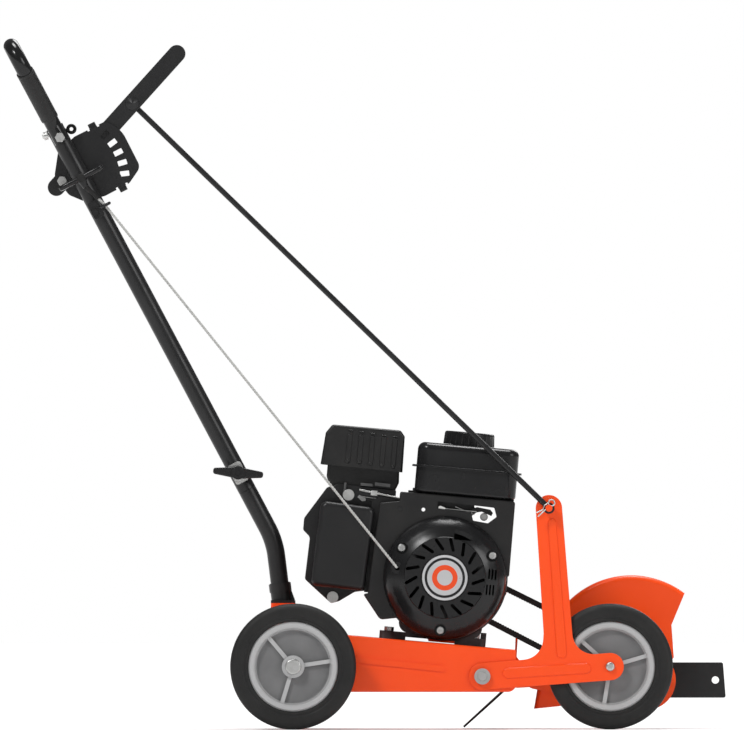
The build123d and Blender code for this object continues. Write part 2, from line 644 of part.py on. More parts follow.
def along_cylinder(distance, size, r=0.0):
    """Rounded block centred on the cylinder's axis, at a distance from the crank."""
    block = Box(*size)
    if r:
        block = fillet(block.edges().filter_by(Axis.X), r)
    return Rot(0, CYL_ANGLE, 0) * Pos(-distance, CYL_Y, 0) * block


def cylinder_block():
    """Barrel with cooling fins, leaning back and up from the case."""
    barrel = Rot(0, CYL_ANGLE, 0) * Pos(-88, CYL_Y, 0) * Rot(0, 90, 0) * Cylinder(30, 66)
    body = barrel
    for i in range(6):
        body = body + along_cylinder(76 + 8.4 * i, (2.6, 84, 78), 10)
    bore = Rot(0, CYL_ANGLE, 0) * Pos(-90, CYL_Y, 0) * Rot(0, 90, 0) * Cylinder(23, 80)
    case = Pos(0, 10, -16) * Box(118.02, 92.02, 132.02)
    return body - bore - case


def cylinder_head():
    """Finned head and rocker cover."""
    head = along_cylinder(126, (10, 84, 78), 10)
    for i in range(2):
        head = head + along_cylinder(133.5 + 5 * i, (2.4, 80, 74), 8)
    cover = along_cylinder(148, (24, 58, 56), 10)
    core = along_cylinder(134, (12, 56, 54), 8)
    return head + cover + core


def spark_plug():
    """Plug in the head's left side, under its rubber boot."""
    base = Rot(0, CYL_ANGLE, 0) * Location((-126, CYL_Y + 42, 12), (90, 0, 0))
    hexagon = Pos(0, 0, -4) * extrude(RegularPolygon(9, 6), 8)
    body = Pos(0, 0, -14) * Cylinder(5.5, 20)
    boot = Pos(0, 0, -24) * Cylinder(8.5, 22)
    return base * (hexagon - Pos(0, 0, 4) * Box(30, 30, 8) + body + boot)


def crankshaft():
    """Shaft through both bearings, with two webs and a crank pin inside the case."""
    shaft = rod_y(SHAFT_R, -84, 112) + rod_y(10, -48, 62)
    pin_z = 20.0
    webs = []
    for y0 in (-6, 18):
        webs.append(slab(link((0, 0), 22, (0, pin_z), 14), y0, y0 + 8))
    gap = rod_y(11, 2, 18)
    pin = rod_y(9, 2, 18, (0, pin_z))
    return shaft - gap + webs[0] + webs[1] + pin


def crank_bearings():
    y0, y1 = CASE_Y
    return [ring_y(17.5, 10 + RUNNING, y0, y0 + 12), ring_y(17.5, 10 + RUNNING, y1 - 12, y1)]


def flywheel():
    """Magnet flywheel with a ring of cooling blades on its near face."""
    body = rod_y(70, -60, -50) + rod_y(24, -72, -50)
    for i in range(12):
        fin = Pos(52, -67, 0) * Box(34, 15, 2.6)
        body = body + Rot(0, 30 * i, 0) * fin
    return body - rod_y(SHAFT_R, -90, 0)


def shroud_face(inset):
    """Round over the flywheel, square to the tank above, drawn out over the cylinder behind."""
    k = inset
    flag = outline([(-73.5 + k, 116 - k), (90 - k, 116 - k), (90.5 - k, 11), (30, -60), (-50, -60),
                    (-86 + k, -67 + k), (-113 + k, -33 + k / 2), (-106.5 + k, -31 + k / 2),
                    (-100.5 + k, 97.5 - k), (-73.5 + k, 102.5 - k)],
                   [3, 4, 3, 0, 0, 8, 2, 1, 3, 1])
    return flag + disc(SHROUD_RING - k)


def blower_shroud():
    """Deep cover that leads the fan's air back over the fins; open behind and at the fan."""
    body = slab(shroud_face(0), *SHROUD_Y)
    front = body.edges().filter_by(lambda e: abs(e.center().Y - SHROUD_Y[0]) < 0.01)
    body = fillet(front, 2.0)
    cavity = slab(shroud_face(2.5), SHROUD_Y[0] + 2.5, SHROUD_Y[1] + 5)
    body = body - cavity - rod_y(76, SHROUD_Y[0] - 2, SHROUD_Y[0] + 5)
    slot = outline([(-19, 107), (61, 104.5), (65.5, 92), (54, 82), (33, 84), (29, 95), (-19, 97)],
                   [1, 2, 2, 2, 1, 1, 1])
    body = body - slab(slot - disc(SHROUD_RING), SHROUD_Y[0] - 2, SHROUD_Y[0] + 5)
    body = body - rod_y(2.6, SHROUD_Y[0] - 2, SHROUD_Y[0] + 5, (-38.5, 93.4))
    fin_gap = Pos(-104, -58, 10) * Box(14, 24, 60)
    rod_gap = Pos(-78, -66, 107) * Box(24, 9, 9)
    return body - fin_gap - rod_gap


def recoil_screw_places():
    turns = [math.radians(a) for a in SCREW_ANGLES]
    return [(SCREW_CIRCLE * math.cos(a), SCREW_CIRCLE * math.sin(a)) for a in turns]


def recoil_housing():
    """Domed starter housing: rim, shoulder, flat face with skewed vents round a centre boss."""
    y = SHROUD_Y[0]
    outer = [(0, y), (RECOIL_R, y), (RECOIL_R, y - 8), (83, y - 18), (75, y - 26), (64, y - 33),
             (58, y - 36), (57, y - 38.5), (34, y - 38.5), (33, y - 40), (0, y - 40)]
    inner = [(0, y), (84.5, y), (84.5, y - 7), (80.5, y - 16.5), (72.5, y - 24), (62, y - 30.5),
             (34, y - 35.5), (0, y - 36.5)]
    body = spin_y(outer) - Pos(0, 0.01, 0) * spin_y(inner)
    for i in range(17):
        vent = Pos(47.5, -1.5) * Rot(0, 0, 24) * SlotOverall(20, 4.6)
        vent = Rot(0, -360 / 17 * i, 0) * slab(vent, y - 42, y - 30)
        body = body - vent
    for at in recoil_screw_places():
        body = body - rod_y(8.5, y - 40, y - 12, at) + ring_y(8.5, 2.5, y - 14, y, at)
    for dx, dz in ((66.6, 10.5), (65.0, -11.7)):
        for i in (-1, 0, 1):
            louvre = Pos(dx + 4.6 * i, dz) * Rot(0, 0, 90) * SlotOverall(15, 2.4)
            body = body - slab(louvre, y - 40, y - 18)
    window = outline([(8, 55), (34, 55), (34, 70), (8, 70)], [2, 2, 2, 2])
    body = body - slab(window, y - 40, y - 29)
    exit_boss = rod_y(8.5, y - 32, y - 24, ROPE_EXIT)
    body = body + exit_boss - rod_y(3.4, y - 45, y - 20, ROPE_EXIT)
    return body


def recoil_screws():
    y = SHROUD_Y[0]
    out = []
    for at in recoil_screw_places():
        head = rod_y(5.8, y - 20, y - 14, at)
        near = head.edges().filter_by(GeomType.CIRCLE).sort_by(Axis.Y)[0]
        out.append(fillet(near, 1.5) - slab(Pos(*at) * RegularPolygon(2.6, 6), y - 21, y - 17.5))
    return out


def tank_block(z0, z1, shrink=0.0):
    x0, x1 = TANK_X
    y0, y1 = TANK_Y
    box = Pos((x0 + x1) / 2, (y0 + y1) / 2, (z0 + z1) / 2) * Box(
        x1 - x0 - 2 * shrink, y1 - y0 - 2 * shrink, z1 - z0)
    return fillet(box.edges().filter_by(Axis.Z), 16 - shrink)


def tank_flange(z0):
    x0, x1 = TANK_X
    y0, y1 = TANK_Y
    plate = Pos((x0 + x1) / 2, (y0 + y1) / 2, z0 + 0.7) * Box(x1 - x0 + 12, y1 - y0 + 10, 1.4)
    return fillet(plate.edges().filter_by(Axis.Z), 20)


def fuel_tank_upper():
    """Upper half of the tank with its half of the seam and the filler neck."""
    z0, z1 = TANK_Z[1], TANK_Z[2]
    shell = tank_block(z0, z1)
    shell = fillet(shell.faces().sort_by(Axis.Z)[-1].edges(), 10)
    inside = tank_block(z0 - 1, z1 - 2.5, 2.5)
    inside = fillet(inside.faces().sort_by(Axis.Z)[-1].edges(), 7.5)
    shell = shell + tank_flange(z0) - inside
    neck = Pos(CAP_AT[0], CAP_AT[1], 186.5) * Cylinder(24, 20)
    bore = Pos(CAP_AT[0], CAP_AT[1], 185) * Cylinder(20, 40)
    return shell + neck - bore


def fuel_tank_lower():
    z0, z1 = TANK_Z[0], TANK_Z[1]
    shell = tank_block(z0, z1)
    shell = fillet(shell.faces().sort_by(Axis.Z)[0].edges(), 4)
    shell = shell + tank_flange(z1 - 1.4) - tank_block(z0 + 2.5, z1 + 1, 2.5)
    tab = Pos(TANK_X[0] + 2, -60, 121) * Box(9, 14, 4)
    return shell + tab


def tank_bracket():
    """Folded strap that carries the tank from the top of the crankcase."""
    post = Pos(-7, 44.5, 84) * Box(50, 3, 68)
    shelf = Pos(-7, 20, 116.5) * Box(50, 46, 3)
    foot = Pos(-7, 33.5, 51.5) * Box(50, 25, 3)
    return post + shelf + foot


def fuel_cap():
    """Ribbed screw cap, hollow below so that it drops over the neck."""
    z0, z1 = CAP_Z
    body = Pos(0, 0, (z0 + z1) / 2) * Cone(CAP_R, CAP_R - 1.3, z1 - z0)
    top = body.edges().filter_by(GeomType.CIRCLE).sort_by(Axis.Z)[-1]
    body = fillet(top, 3.5)
    for i in range(24):
        groove = Rot(0, 0, 15 * i) * Pos(CAP_R + 1.1, 0, z0 + 6) * Cylinder(2.3, 16)
        body = body - groove
    body = body - Pos(0, 0, z0 + 4) * Cylinder(25.0, 12)
    return Pos(CAP_AT[0], CAP_AT[1], 0) * body


def muffler_guard():
    """Heat shield over the silencer, open below, with five pressed flutes."""
    y0, y1 = -52.0, 50.0
    corners = [(-189, 145), (-185.5, 190), (-177, 202.3), (-80, 202.3), (-73.5, 194), (-72.5, 143.5)]
    face = outline(corners, [0, 5, 6, 5, 4, 0])
    body = slab(face, y0, y1)
    ends = body.edges().filter_by(lambda e: min(abs(e.center().Y - y0), abs(e.center().Y - y1)) < 0.01)
    body = fillet(ends.filter_by(lambda e: e.center().Z > 150), 4)
    hollow = outline([(-187.4, 130), (-184, 189), (-176.3, 200.8), (-80.8, 200.8), (-75.1, 193.4),
                      (-74.1, 130)], [0, 4, 5, 4, 3, 0])
    body = body - slab(hollow, y0 + 1.6, y1 - 1.6) - rod_y(11, 40, 60, (-150, 150))
    for i in range(5):
        x = -151.0 + 16.1 * i
        flute = slab(link((x, 153), 3.6, (x, 188), 3.6), y0 - 1.6, y0)
        crest = flute.edges().filter_by(lambda e: abs(e.center().Y - y0 + 1.6) < 0.01)
        body = body + fillet(crest, 1.4)
    return body


def muffler_body():
    corners = [(-179, 128), (-179, 188), (-80, 188), (-76, 128), (-84, 108), (-170, 110)]
    face = outline(corners, [8, 12, 12, 8, 8, 8])
    body = slab(face, -33, 42)
    body = fillet(body.edges().filter_by(lambda e: abs(e.center().Y + 33) < 0.01), 3)
    outlet = rod_y(9, 42, 62, (-150, 150)) - rod_y(7, 42, 63, (-150, 150))
    return body + outlet


def air_cleaner_base():
    """Back plate and intake elbow of the air cleaner."""
    face = outline([(-177, 113), (-205.5, 67), (-205.5, 50), (-195, 41), (-197, -19), (-187, -27),
                    (-157, -50), (-146, -46), (-125, -31), (-108, -27.5), (-102, 86), (-101.8, 99.5),
                    (-79, 105.5), (-79, 118), (-160, 120)],
                   [8, 8, 5, 8, 5, 5, 5, 5, 8, 4, 2, 2, 3, 3, 6])
    plate = slab(face, -46, -34)
    front = plate.edges().filter_by(lambda e: abs(e.center().Y + 46) < 0.01)
    return fillet(front, 1.5)


def air_cleaner_cover():
    """Deep rounded cover with draft, held by one bolt."""
    face = outline([(-183.5, 94), (-187.8, -27), (-111.5, -28.5), (-106.3, 90)], [10, 8, 8, 10])
    body = slab(face, -86, -46)
    near = body.edges().filter_by(lambda e: abs(e.center().Y + 86) < 0.01)
    body = fillet(near, 7)
    return body - slab(offset(face, -2.5), -83, -40)


def carburettor():
    """Body, float bowl, intake stub to the head and a flange to the air cleaner."""
    body = Pos(-142, -7, -10) * Box(40, 54, 30)
    body = fillet(body.edges().filter_by(Axis.Y), 6)
    bowl = Pos(-142, -7, -24) * Cylinder(16, 16)
    stub = Pos(-132, 2, 12) * Rot(0, 20, 0) * Cylinder(9, 26)
    for distance, size in ((101, (60, 84, 78)), (134, (12.4, 80, 74)), (148, (24, 58, 56))):
        stub = stub - along_cylinder(distance, size)
    return body + bowl + stub


def air_cleaner_bolts():
    """Cover bolt below and the tall bolt above the air cleaner."""
    low = rod_y(8, -60, -54, (-155.5, -41)) + rod_y(3.5, -54, -46, (-155.5, -41))
    high = rod_y(8, -64, -58, (-145.7, 105)) + rod_y(3.5, -58, -46, (-145.7, 105))
    return [low, high]


def governor_linkage():
    """Thin rod from the carburettor to the lever behind the shroud, with its clevis nut."""
    rod = straight((-131, -66, 113.4), (-121.5, -66, 112.2), 1.5) + straight(
        (-121.5, -66, 112.2), (-70, -66, 106), 1.5)
    nut = Pos(-110, -66, 110.6) * Box(9, 7, 7)
    return rod + nut


def engine_bolts():
    out = []
    for x in MOUNT_X:
        for y in MOUNT_Y:
            shank = Pos(x, y, BASE_Z + 3) * Cylinder(4.0, 24)
            head = Pos(x, y, BASE_Z + 11) * extrude(RegularPolygon(7, 6), 6)
            nut = Pos(x, y, BASE_Z - STEEL - 6) * extrude(RegularPolygon(7, 6), 6)
            out.append(shank + head + nut)
    return out


# ---- starter rope -------------------------------------------------------
def rope_guide():
    """Bracket screwed to the stem, with a wire ring that turns the rope."""
    x, y, z = GUIDE_AT
    ring = Pos(x, y, z) * Rot(0, -STEM_ANGLE, 0) * Torus(6.5, 2.2)
    plate = Pos(x - 13, -17.2, z - 6) * Rot(0, -STEM_ANGLE, 0) * Box(16, 3, 26)
    plate = fillet(plate.edges().filter_by(Axis.Y), 4)
    arm = straight((x - 4, -17.2, z - 6), (x - 3.6, y + 2, z - 6.0), 2.2)
    screw = rod_y(5, -21.5, -18.7, (x - 15, z - 10))
    pad = Pos(x - 14, -14.7, z - 8) * Rot(0, -STEM_ANGLE, 0) * Box(10, 3, 18)
    pad = pad - straight(on_stem(200), on_stem(320), STEM_R)
    return ring + plate + arm + screw + pad


def rope_end():
    local = ENGINE * Pos(ROPE_EXIT[0], SHROUD_Y[0] - 33.2, ROPE_EXIT[1])
    return local.position


def starter_rope():
    """Rope from the guide ring to the starter housing, pulled straight."""
    end = rope_end()
    start = Vector(*GUIDE_AT)
    return straight(start, end, ROPE_R)


def starter_grip():
    """T grip square to the handle, with a moulded neck and a rope stub to the guide."""
    centre = Vector(*GRIP_AT)
    bar = Box(70, 20, 8.5)
    bar = fillet(bar.edges().filter_by(Axis.Z), 8)
    bar = fillet(bar.edges().filter_by(lambda e: abs(abs(e.center().Z) - 4.25) < 0.01), 2.5)
    turn = Pos(centre.X, centre.Y, centre.Z) * Rot(0, -STEM_ANGLE, 0)
    neck = Pos(0, 0, -9) * Cone(4.0, 7.0, 12)
    stub = straight(Vector(*GUIDE_AT) + STEM_DIR * 3, centre, ROPE_R)
    return turn * (bar + neck) + stub


# ---- write every piece --------------------------------------------------
def in_engine(*solids):
    return [ENGINE * s for s in solids]


axle, axle_fittings = axle_parts()
pivot_bolts = hex_bolt(ARM_PIVOT, ARM_Y - STEEL, -109, ARM_PIN_R, 10.4, 5.5, -117)
pivot_bolts += hex_bolt(LEVER_PIVOT, QUADRANT_Y[0], 27, BOLT_R, 7.2, 5.0, LEVER_Y[1] + 0.4)
LOOP_BOLT_AT = (on_stem(LOOP_BOLT_DOWN).X, on_stem(LOOP_BOLT_DOWN).Z)
loop_bolt = hex_bolt(LOOP_BOLT_AT, -34.9, 41, BOLT_R, 7.2, 5.0, 34.9)
carrier_bolts = []
for bolt_at in CARRIER_BOLTS:
    carrier_bolts += [rod_y(7.5, 104, 108.5, bolt_at) + rod_y(4, 92, 104, bolt_at)]

save("frame_deck", frame_deck())
save("rear_axle", axle)
save("axle_fittings", *axle_fittings)
save("handle_socket", handle_socket())
save("lower_handle_tube", lower_handle_tube())
save("upper_handle_tube", upper_handle_tube())
save("handle_loop", handle_loop())
save("loop_grips", *loop_grips())
save("eye_bolt", eye_bolt())
save("knob_bolt", *knob_saddle())
save("handle_knob", handle_knob())
save("depth_quadrant", depth_quadrant())
save("lever_keeper", lever_keeper())
save("depth_lever", depth_lever())
save("depth_rod", depth_rod())
save("wheel_arm", wheel_arm())
save("rod_clip", rod_clip())
save("frame_bolts", *(pivot_bolts + loop_bolt + carrier_bolts))
save("front_axle_bolt", front_axle_bolt())
wheels()
save("spindle_carrier", spindle_carrier())
save("bearing_housing", bearing_housing())
save("ball_bearings", *(spindle_bearings() + in_engine(*crank_bearings())))
save("spindle_shaft", spindle_shaft())
save("spindle_pulley", grooved_pulley(SPINDLE_PITCH_R, SPINDLE, SHAFT_R))
save("blade", blade())
save("blade_nut", blade_nut())
save("drive_belt", drive_belt())
save("drive_pulley", grooved_pulley(DRIVE_PITCH_R, CRANK, SHAFT_R))
save("blade_guard", blade_guard())
save("debris_flap", debris_flap())
save("belt_guard", belt_guard())
save("crankcase", *in_engine(crankcase()))
save("cylinder_block", *in_engine(cylinder_block()))
save("cylinder_head", *in_engine(cylinder_head()))
save("spark_plug", *in_engine(spark_plug()))
save("crankshaft", *in_engine(crankshaft()))
save("flywheel", *in_engine(flywheel()))
save("blower_shroud", *in_engine(blower_shroud()))
save("recoil_housing", *in_engine(recoil_housing()))
save("cover_screws", *in_engine(*recoil_screws(), *air_cleaner_bolts()))
save("fuel_tank_upper", *in_engine(fuel_tank_upper()))
save("fuel_tank_lower", *in_engine(fuel_tank_lower()))
save("tank_bracket", *in_engine(tank_bracket()))
save("fuel_cap", *in_engine(fuel_cap()))
save("muffler_guard", *in_engine(muffler_guard()))
save("muffler_body", *in_engine(muffler_body()))
save("air_cleaner_base", *in_engine(air_cleaner_base()))
save("air_cleaner_cover", *in_engine(air_cleaner_cover()))
save("carburettor", *in_engine(carburettor()))
save("governor_linkage", *in_engine(governor_linkage()))
save("engine_bolts", *in_engine(*engine_bolts()))
save("rope_guide", rope_guide())
save("starter_rope", starter_rope())
save("starter_grip", starter_grip())
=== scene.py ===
"""Looks of the walk-behind lawn edger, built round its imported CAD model. Metres, +X forward, +Z up."""
import json
import math

import bmesh
import bpy
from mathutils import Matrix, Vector


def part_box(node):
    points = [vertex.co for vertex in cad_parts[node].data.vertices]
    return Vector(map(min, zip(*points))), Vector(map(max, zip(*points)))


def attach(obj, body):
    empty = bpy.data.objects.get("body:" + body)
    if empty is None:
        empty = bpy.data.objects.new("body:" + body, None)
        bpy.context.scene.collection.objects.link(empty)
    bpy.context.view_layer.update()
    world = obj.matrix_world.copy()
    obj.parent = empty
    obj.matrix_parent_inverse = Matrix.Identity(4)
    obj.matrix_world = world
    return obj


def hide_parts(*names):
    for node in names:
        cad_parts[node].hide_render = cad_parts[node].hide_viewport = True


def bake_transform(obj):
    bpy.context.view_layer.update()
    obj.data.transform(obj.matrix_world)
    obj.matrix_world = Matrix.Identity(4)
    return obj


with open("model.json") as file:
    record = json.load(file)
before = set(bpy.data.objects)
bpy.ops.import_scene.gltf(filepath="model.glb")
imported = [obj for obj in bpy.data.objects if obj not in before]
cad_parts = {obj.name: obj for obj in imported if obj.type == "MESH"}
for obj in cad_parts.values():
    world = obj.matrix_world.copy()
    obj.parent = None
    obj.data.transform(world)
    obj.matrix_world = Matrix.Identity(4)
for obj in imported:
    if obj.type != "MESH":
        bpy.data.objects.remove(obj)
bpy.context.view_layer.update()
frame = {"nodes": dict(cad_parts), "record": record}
NODES = frame["nodes"]
MM = 0.001
TILT = math.radians(5.0)         # the engine leans nose-down by this
WELD_GAP = 0.02 * MM             # seams of the imported CAD meshes
MERGE_GAP = 1e-7                 # coinciding points of the meshes made here


# ---- small helpers ------------------------------------------------------
def centre(node):
    low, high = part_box(node)
    return (low + high) / 2


def new_object(name, mesh, material, body, smooth=True):
    """Wrap a mesh as a piece that rides on a body."""
    piece = bpy.data.objects.new(name, mesh)
    bpy.context.scene.collection.objects.link(piece)
    mesh.materials.clear()
    mesh.materials.append(material)
    if smooth:
        for face in mesh.polygons:
            face.use_smooth = True
    if body:
        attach(piece, body)
    return piece


def mesh_from(name, verts, faces):
    """Mesh with its coinciding points merged, no loose edges, and its faces turned outwards."""
    mesh = bpy.data.meshes.new(name)
    mesh.from_pydata([tuple(v) for v in verts], [], faces)
    shape = bmesh.new()
    shape.from_mesh(mesh)
    bmesh.ops.remove_doubles(shape, verts=shape.verts, dist=MERGE_GAP)
    bmesh.ops.delete(shape, geom=[e for e in shape.edges if not e.link_faces], context="EDGES")
    bmesh.ops.delete(shape, geom=[v for v in shape.verts if not v.link_faces], context="VERTS")
    bmesh.ops.recalc_face_normals(shape, faces=shape.faces)
    shape.to_mesh(mesh)
    shape.free()
    return mesh


def lathe(name, profile, origin, axis, segments=96):
    """Revolve a closed outline of (radius, height) points about an axis through origin."""
    axis = Vector(axis).normalized()
    side = axis.orthogonal().normalized()
    other = axis.cross(side)
    verts, faces, n = [], [], len(profile)
    for i in range(segments):
        a = 2 * math.pi * i / segments
        out = side * math.cos(a) + other * math.sin(a)
        verts += [Vector(origin) + out * r + axis * h for r, h in profile]
    for i in range(segments):
        j = (i + 1) % segments
        for k in range(n):
            m = (k + 1) % n
            faces.append((i * n + k, i * n + m, j * n + m, j * n + k))
    return mesh_from(name, verts, faces)


def arc(cx, cy, r, start, end, steps):
    """Points on an arc, angles in degrees."""
    out = []
    for i in range(steps + 1):
        a = math.radians(start + (end - start) * i / steps)
        out.append((cx + r * math.cos(a), cy + r * math.sin(a)))
    return out


def sweep(name, path, section, twist=0.0):
    """Carry a closed section (across, up) along a path, turning it by twist radians per metre."""
    verts, faces, n, m = [], [], len(path), len(section)
    travelled = 0.0
    for i, point in enumerate(path):
        tangent = (path[min(i + 1, n - 1)] - path[max(i - 1, 0)]).normalized()
        across = Vector((0, 1, 0)).cross(tangent).normalized()
        rise = tangent.cross(across)
        if i:
            travelled += (point - path[i - 1]).length
        c, s = math.cos(twist * travelled), math.sin(twist * travelled)
        for u, v in section:
            verts.append(point + across * (u * c - v * s) + rise * (u * s + v * c))
    for i in range(n - 1):
        for k in range(m):
            q = (k + 1) % m
            faces.append((i * m + k, i * m + q, (i + 1) * m + q, (i + 1) * m + k))
    faces.append(tuple(range(m - 1, -1, -1)))
    faces.append(tuple((n - 1) * m + k for k in range(m)))
    return mesh_from(name, verts, faces)


def add_bevel(piece, width, segments=2, angle=32, flatten=False):
    """Weld seams, merge flat faces if asked, round the sharp edges and even out the shading."""
    weld = piece.modifiers.new("weld", "WELD")
    weld.merge_threshold = WELD_GAP
    if flatten:
        flat = piece.modifiers.new("flatten", "DECIMATE")
        flat.decimate_type = "DISSOLVE"
        flat.angle_limit = math.radians(0.5)
    bevel = piece.modifiers.new("bevel", "BEVEL")
    bevel.width = width
    bevel.segments = segments
    bevel.limit_method = "ANGLE"
    bevel.angle_limit = math.radians(angle)
    bevel.use_clamp_overlap = True
    bevel.harden_normals = False
    weighted = piece.modifiers.new("normals", "WEIGHTED_NORMAL")
    weighted.keep_sharp = False


# ---- materials ----------------------------------------------------------
class Surface:
    """A Principled material with a few ready-made kinds of variation in object space."""

    def __init__(self, name, color, rough, metallic=0.0):
        self.mat = bpy.data.materials.new(name)
        self.mat.use_nodes = True
        self.nodes = self.mat.node_tree.nodes
        self.links = self.mat.node_tree.links
        self.shader = self.nodes["Principled BSDF"]
        self.set("Base Color", (*color, 1))
        self.set("Roughness", rough)
        self.set("Metallic", metallic)
        self.color, self.rough = color, rough
        self.where = self.nodes.new("ShaderNodeTexCoord").outputs["Object"]
        if not metallic:
            self.set("Specular IOR Level", 0.32)
        self.mat.diffuse_color = (*color, 1)

    def set(self, socket, value):
        self.shader.inputs[socket].default_value = value
        return self

    def noise(self, scale, detail=3.0, stretch=None):
        node = self.nodes.new("ShaderNodeTexNoise")
        node.inputs["Scale"].default_value = scale
        node.inputs["Detail"].default_value = detail
        self.links.new(self.placed(stretch), node.inputs["Vector"])
        return node.outputs["Fac"]

    def cells(self, scale):
        node = self.nodes.new("ShaderNodeTexVoronoi")
        node.inputs["Scale"].default_value = scale
        self.links.new(self.where, node.inputs["Vector"])
        return node.outputs["Distance"]

    def placed(self, stretch):
        if stretch is None:
            return self.where
        node = self.nodes.new("ShaderNodeMapping")
        node.inputs["Scale"].default_value = stretch
        self.links.new(self.where, node.inputs["Vector"])
        return node.outputs["Vector"]

    def spread(self, source, low, high, a=0.3, b=0.7):
        node = self.nodes.new("ShaderNodeMapRange")
        for socket, value in (("From Min", a), ("From Max", b), ("To Min", low), ("To Max", high)):
            node.inputs[socket].default_value = value
        self.links.new(source, node.inputs["Value"])
        return node.outputs["Result"]

    def math(self, operation, a, b=None):
        node = self.nodes.new("ShaderNodeMath")
        node.operation = operation
        for socket, value in zip(node.inputs, (a, b)):
            if isinstance(value, (int, float)):
                socket.default_value = value
            elif value is not None:
                self.links.new(value, socket)
        return node.outputs["Value"]

    def blend_to(self, other, factor):
        """Mix the base colour with another one by a factor that varies over the surface."""
        mix = self.nodes.new("ShaderNodeMix")
        mix.data_type = "RGBA"
        mix.inputs[6].default_value = (*self.color, 1)
        mix.inputs[7].default_value = (*other, 1)
        self.links.new(factor, mix.inputs[0])
        self.links.new(mix.outputs[2], self.shader.inputs["Base Color"])
        return self

    def mottle(self, other, scale, detail=4.0, amount=1.0):
        """Drift the colour towards another one."""
        return self.blend_to(other, self.spread(self.noise(scale, detail), 0.0, amount))

    def uneven_gloss(self, scale, swing):
        value = self.spread(self.noise(scale, 5.0), self.rough - swing, self.rough + swing)
        self.links.new(value, self.shader.inputs["Roughness"])
        return self

    def bumps(self, *layers):
        """Stack height layers, each (source, strength, distance in metres)."""
        last = None
        for source, strength, distance in layers:
            bump = self.nodes.new("ShaderNodeBump")
            bump.inputs["Strength"].default_value = strength
            bump.inputs["Distance"].default_value = distance
            self.links.new(source, bump.inputs["Height"])
            if last is not None:
                self.links.new(last, bump.inputs["Normal"])
            last = bump.outputs["Normal"]
        self.links.new(last, self.shader.inputs["Normal"])
        return self


def orange_paint():
    s = Surface("orange_powder_coat", (0.94, 0.078, 0.006), 0.34)
    s.mottle((0.88, 0.066, 0.004), 9.0, amount=0.8).uneven_gloss(40, 0.05)
    s.set("Coat Weight", 0.12).set("Coat Roughness", 0.18)
    s.bumps((s.noise(900, 2), 0.12, 0.0002), (s.noise(120, 2), 0.06, 0.0006))
    return s.mat


def black_paint():
    s = Surface("black_powder_coat", (0.011, 0.011, 0.0115), 0.34)
    s.mottle((0.017, 0.017, 0.0175), 14.0).uneven_gloss(60, 0.06)
    s.bumps((s.noise(1400, 2), 0.18, 0.0002), (s.noise(160, 2), 0.08, 0.0005))
    return s.mat


def gloss_black():
    s = Surface("gloss_black_enamel", (0.008, 0.008, 0.0085), 0.16)
    s.mottle((0.013, 0.013, 0.0135), 20.0).uneven_gloss(30, 0.04)
    s.bumps((s.noise(300, 2), 0.05, 0.0004),)
    return s.mat


def grained_plastic():
    s = Surface("grained_black_plastic", (0.010, 0.010, 0.0105), 0.34)
    s.mottle((0.016, 0.016, 0.0165), 11.0).uneven_gloss(35, 0.06)
    s.bumps((s.cells(1500), 0.25, 0.00025), (s.noise(220, 3), 0.10, 0.0004))
    return s.mat


def smooth_plastic():
    s = Surface("smooth_black_plastic", (0.008, 0.008, 0.0085), 0.24)
    s.mottle((0.013, 0.013, 0.0135), 16.0).uneven_gloss(25, 0.07)
    s.bumps((s.noise(500, 3), 0.08, 0.0003),)
    return s.mat


def black_sheet():
    s = Surface("black_sheet_steel", (0.010, 0.010, 0.0105), 0.36)
    s.mottle((0.017, 0.0165, 0.016), 18.0, 6.0).uneven_gloss(50, 0.08)
    s.bumps((s.noise(700, 3), 0.15, 0.0003), (s.noise(60, 2), 0.08, 0.001))
    return s.mat


def tyre_rubber():
    s = Surface("tyre_rubber", (0.009, 0.009, 0.009), 0.60)
    s.mottle((0.014, 0.0135, 0.013), 30.0, 6.0).uneven_gloss(80, 0.08)
    s.bumps((s.noise(900, 4), 0.25, 0.0003), (s.noise(90, 3), 0.08, 0.0008))
    return s.mat


def wheel_plastic(node):
    """Grey moulded plastic with painted shade: darker grey in the recessed dish of the wheel than on its
    band, hub and spokes.
    """
    s = Surface("grey_wheel_plastic_" + node, (0.41, 0.41, 0.412), 0.38)
    split = s.nodes.new("ShaderNodeSeparateXYZ")
    s.links.new(s.where, split.inputs["Vector"])
    middle = centre(node).y
    depth = s.math("ABSOLUTE", s.math("SUBTRACT", split.outputs["Y"], middle))
    # painted shade: faces near the wheel's middle plane, in the recessed dish, are drawn dark grey, with a
    # slight random drift
    painted_dish_shade = s.spread(depth, 1.0, 0.0, 0.0088, 0.0100)
    s.blend_to((0.135, 0.135, 0.137), s.math("MULTIPLY", painted_dish_shade, s.spread(s.noise(25), 0.85, 1.0)))
    s.uneven_gloss(60, 0.06)
    s.bumps((s.noise(1200, 3), 0.12, 0.0002),)
    return s.mat


def zinc_plate():
    s = Surface("zinc_plate", (0.58, 0.58, 0.575), 0.36, 1.0)
    s.mottle((0.50, 0.50, 0.485), 160.0).uneven_gloss(260, 0.05)
    s.bumps((s.noise(1600, 3), 0.06, 0.0002),)
    return s.mat


def turned_steel():
    s = Surface("turned_steel", (0.40, 0.40, 0.41), 0.38, 1.0)
    s.mottle((0.28, 0.27, 0.26), 90.0, 5.0).uneven_gloss(140, 0.10)
    s.bumps((s.noise(500, 3, (1, 14, 1)), 0.2, 0.0003),)
    return s.mat


def cast_alloy():
    s = Surface("cast_alloy", (0.115, 0.115, 0.115), 0.55, 0.6)
    s.mottle((0.075, 0.075, 0.075), 60.0, 6.0).uneven_gloss(90, 0.10)
    s.bumps((s.noise(800, 4), 0.45, 0.0005), (s.noise(140, 3), 0.2, 0.001))
    return s.mat


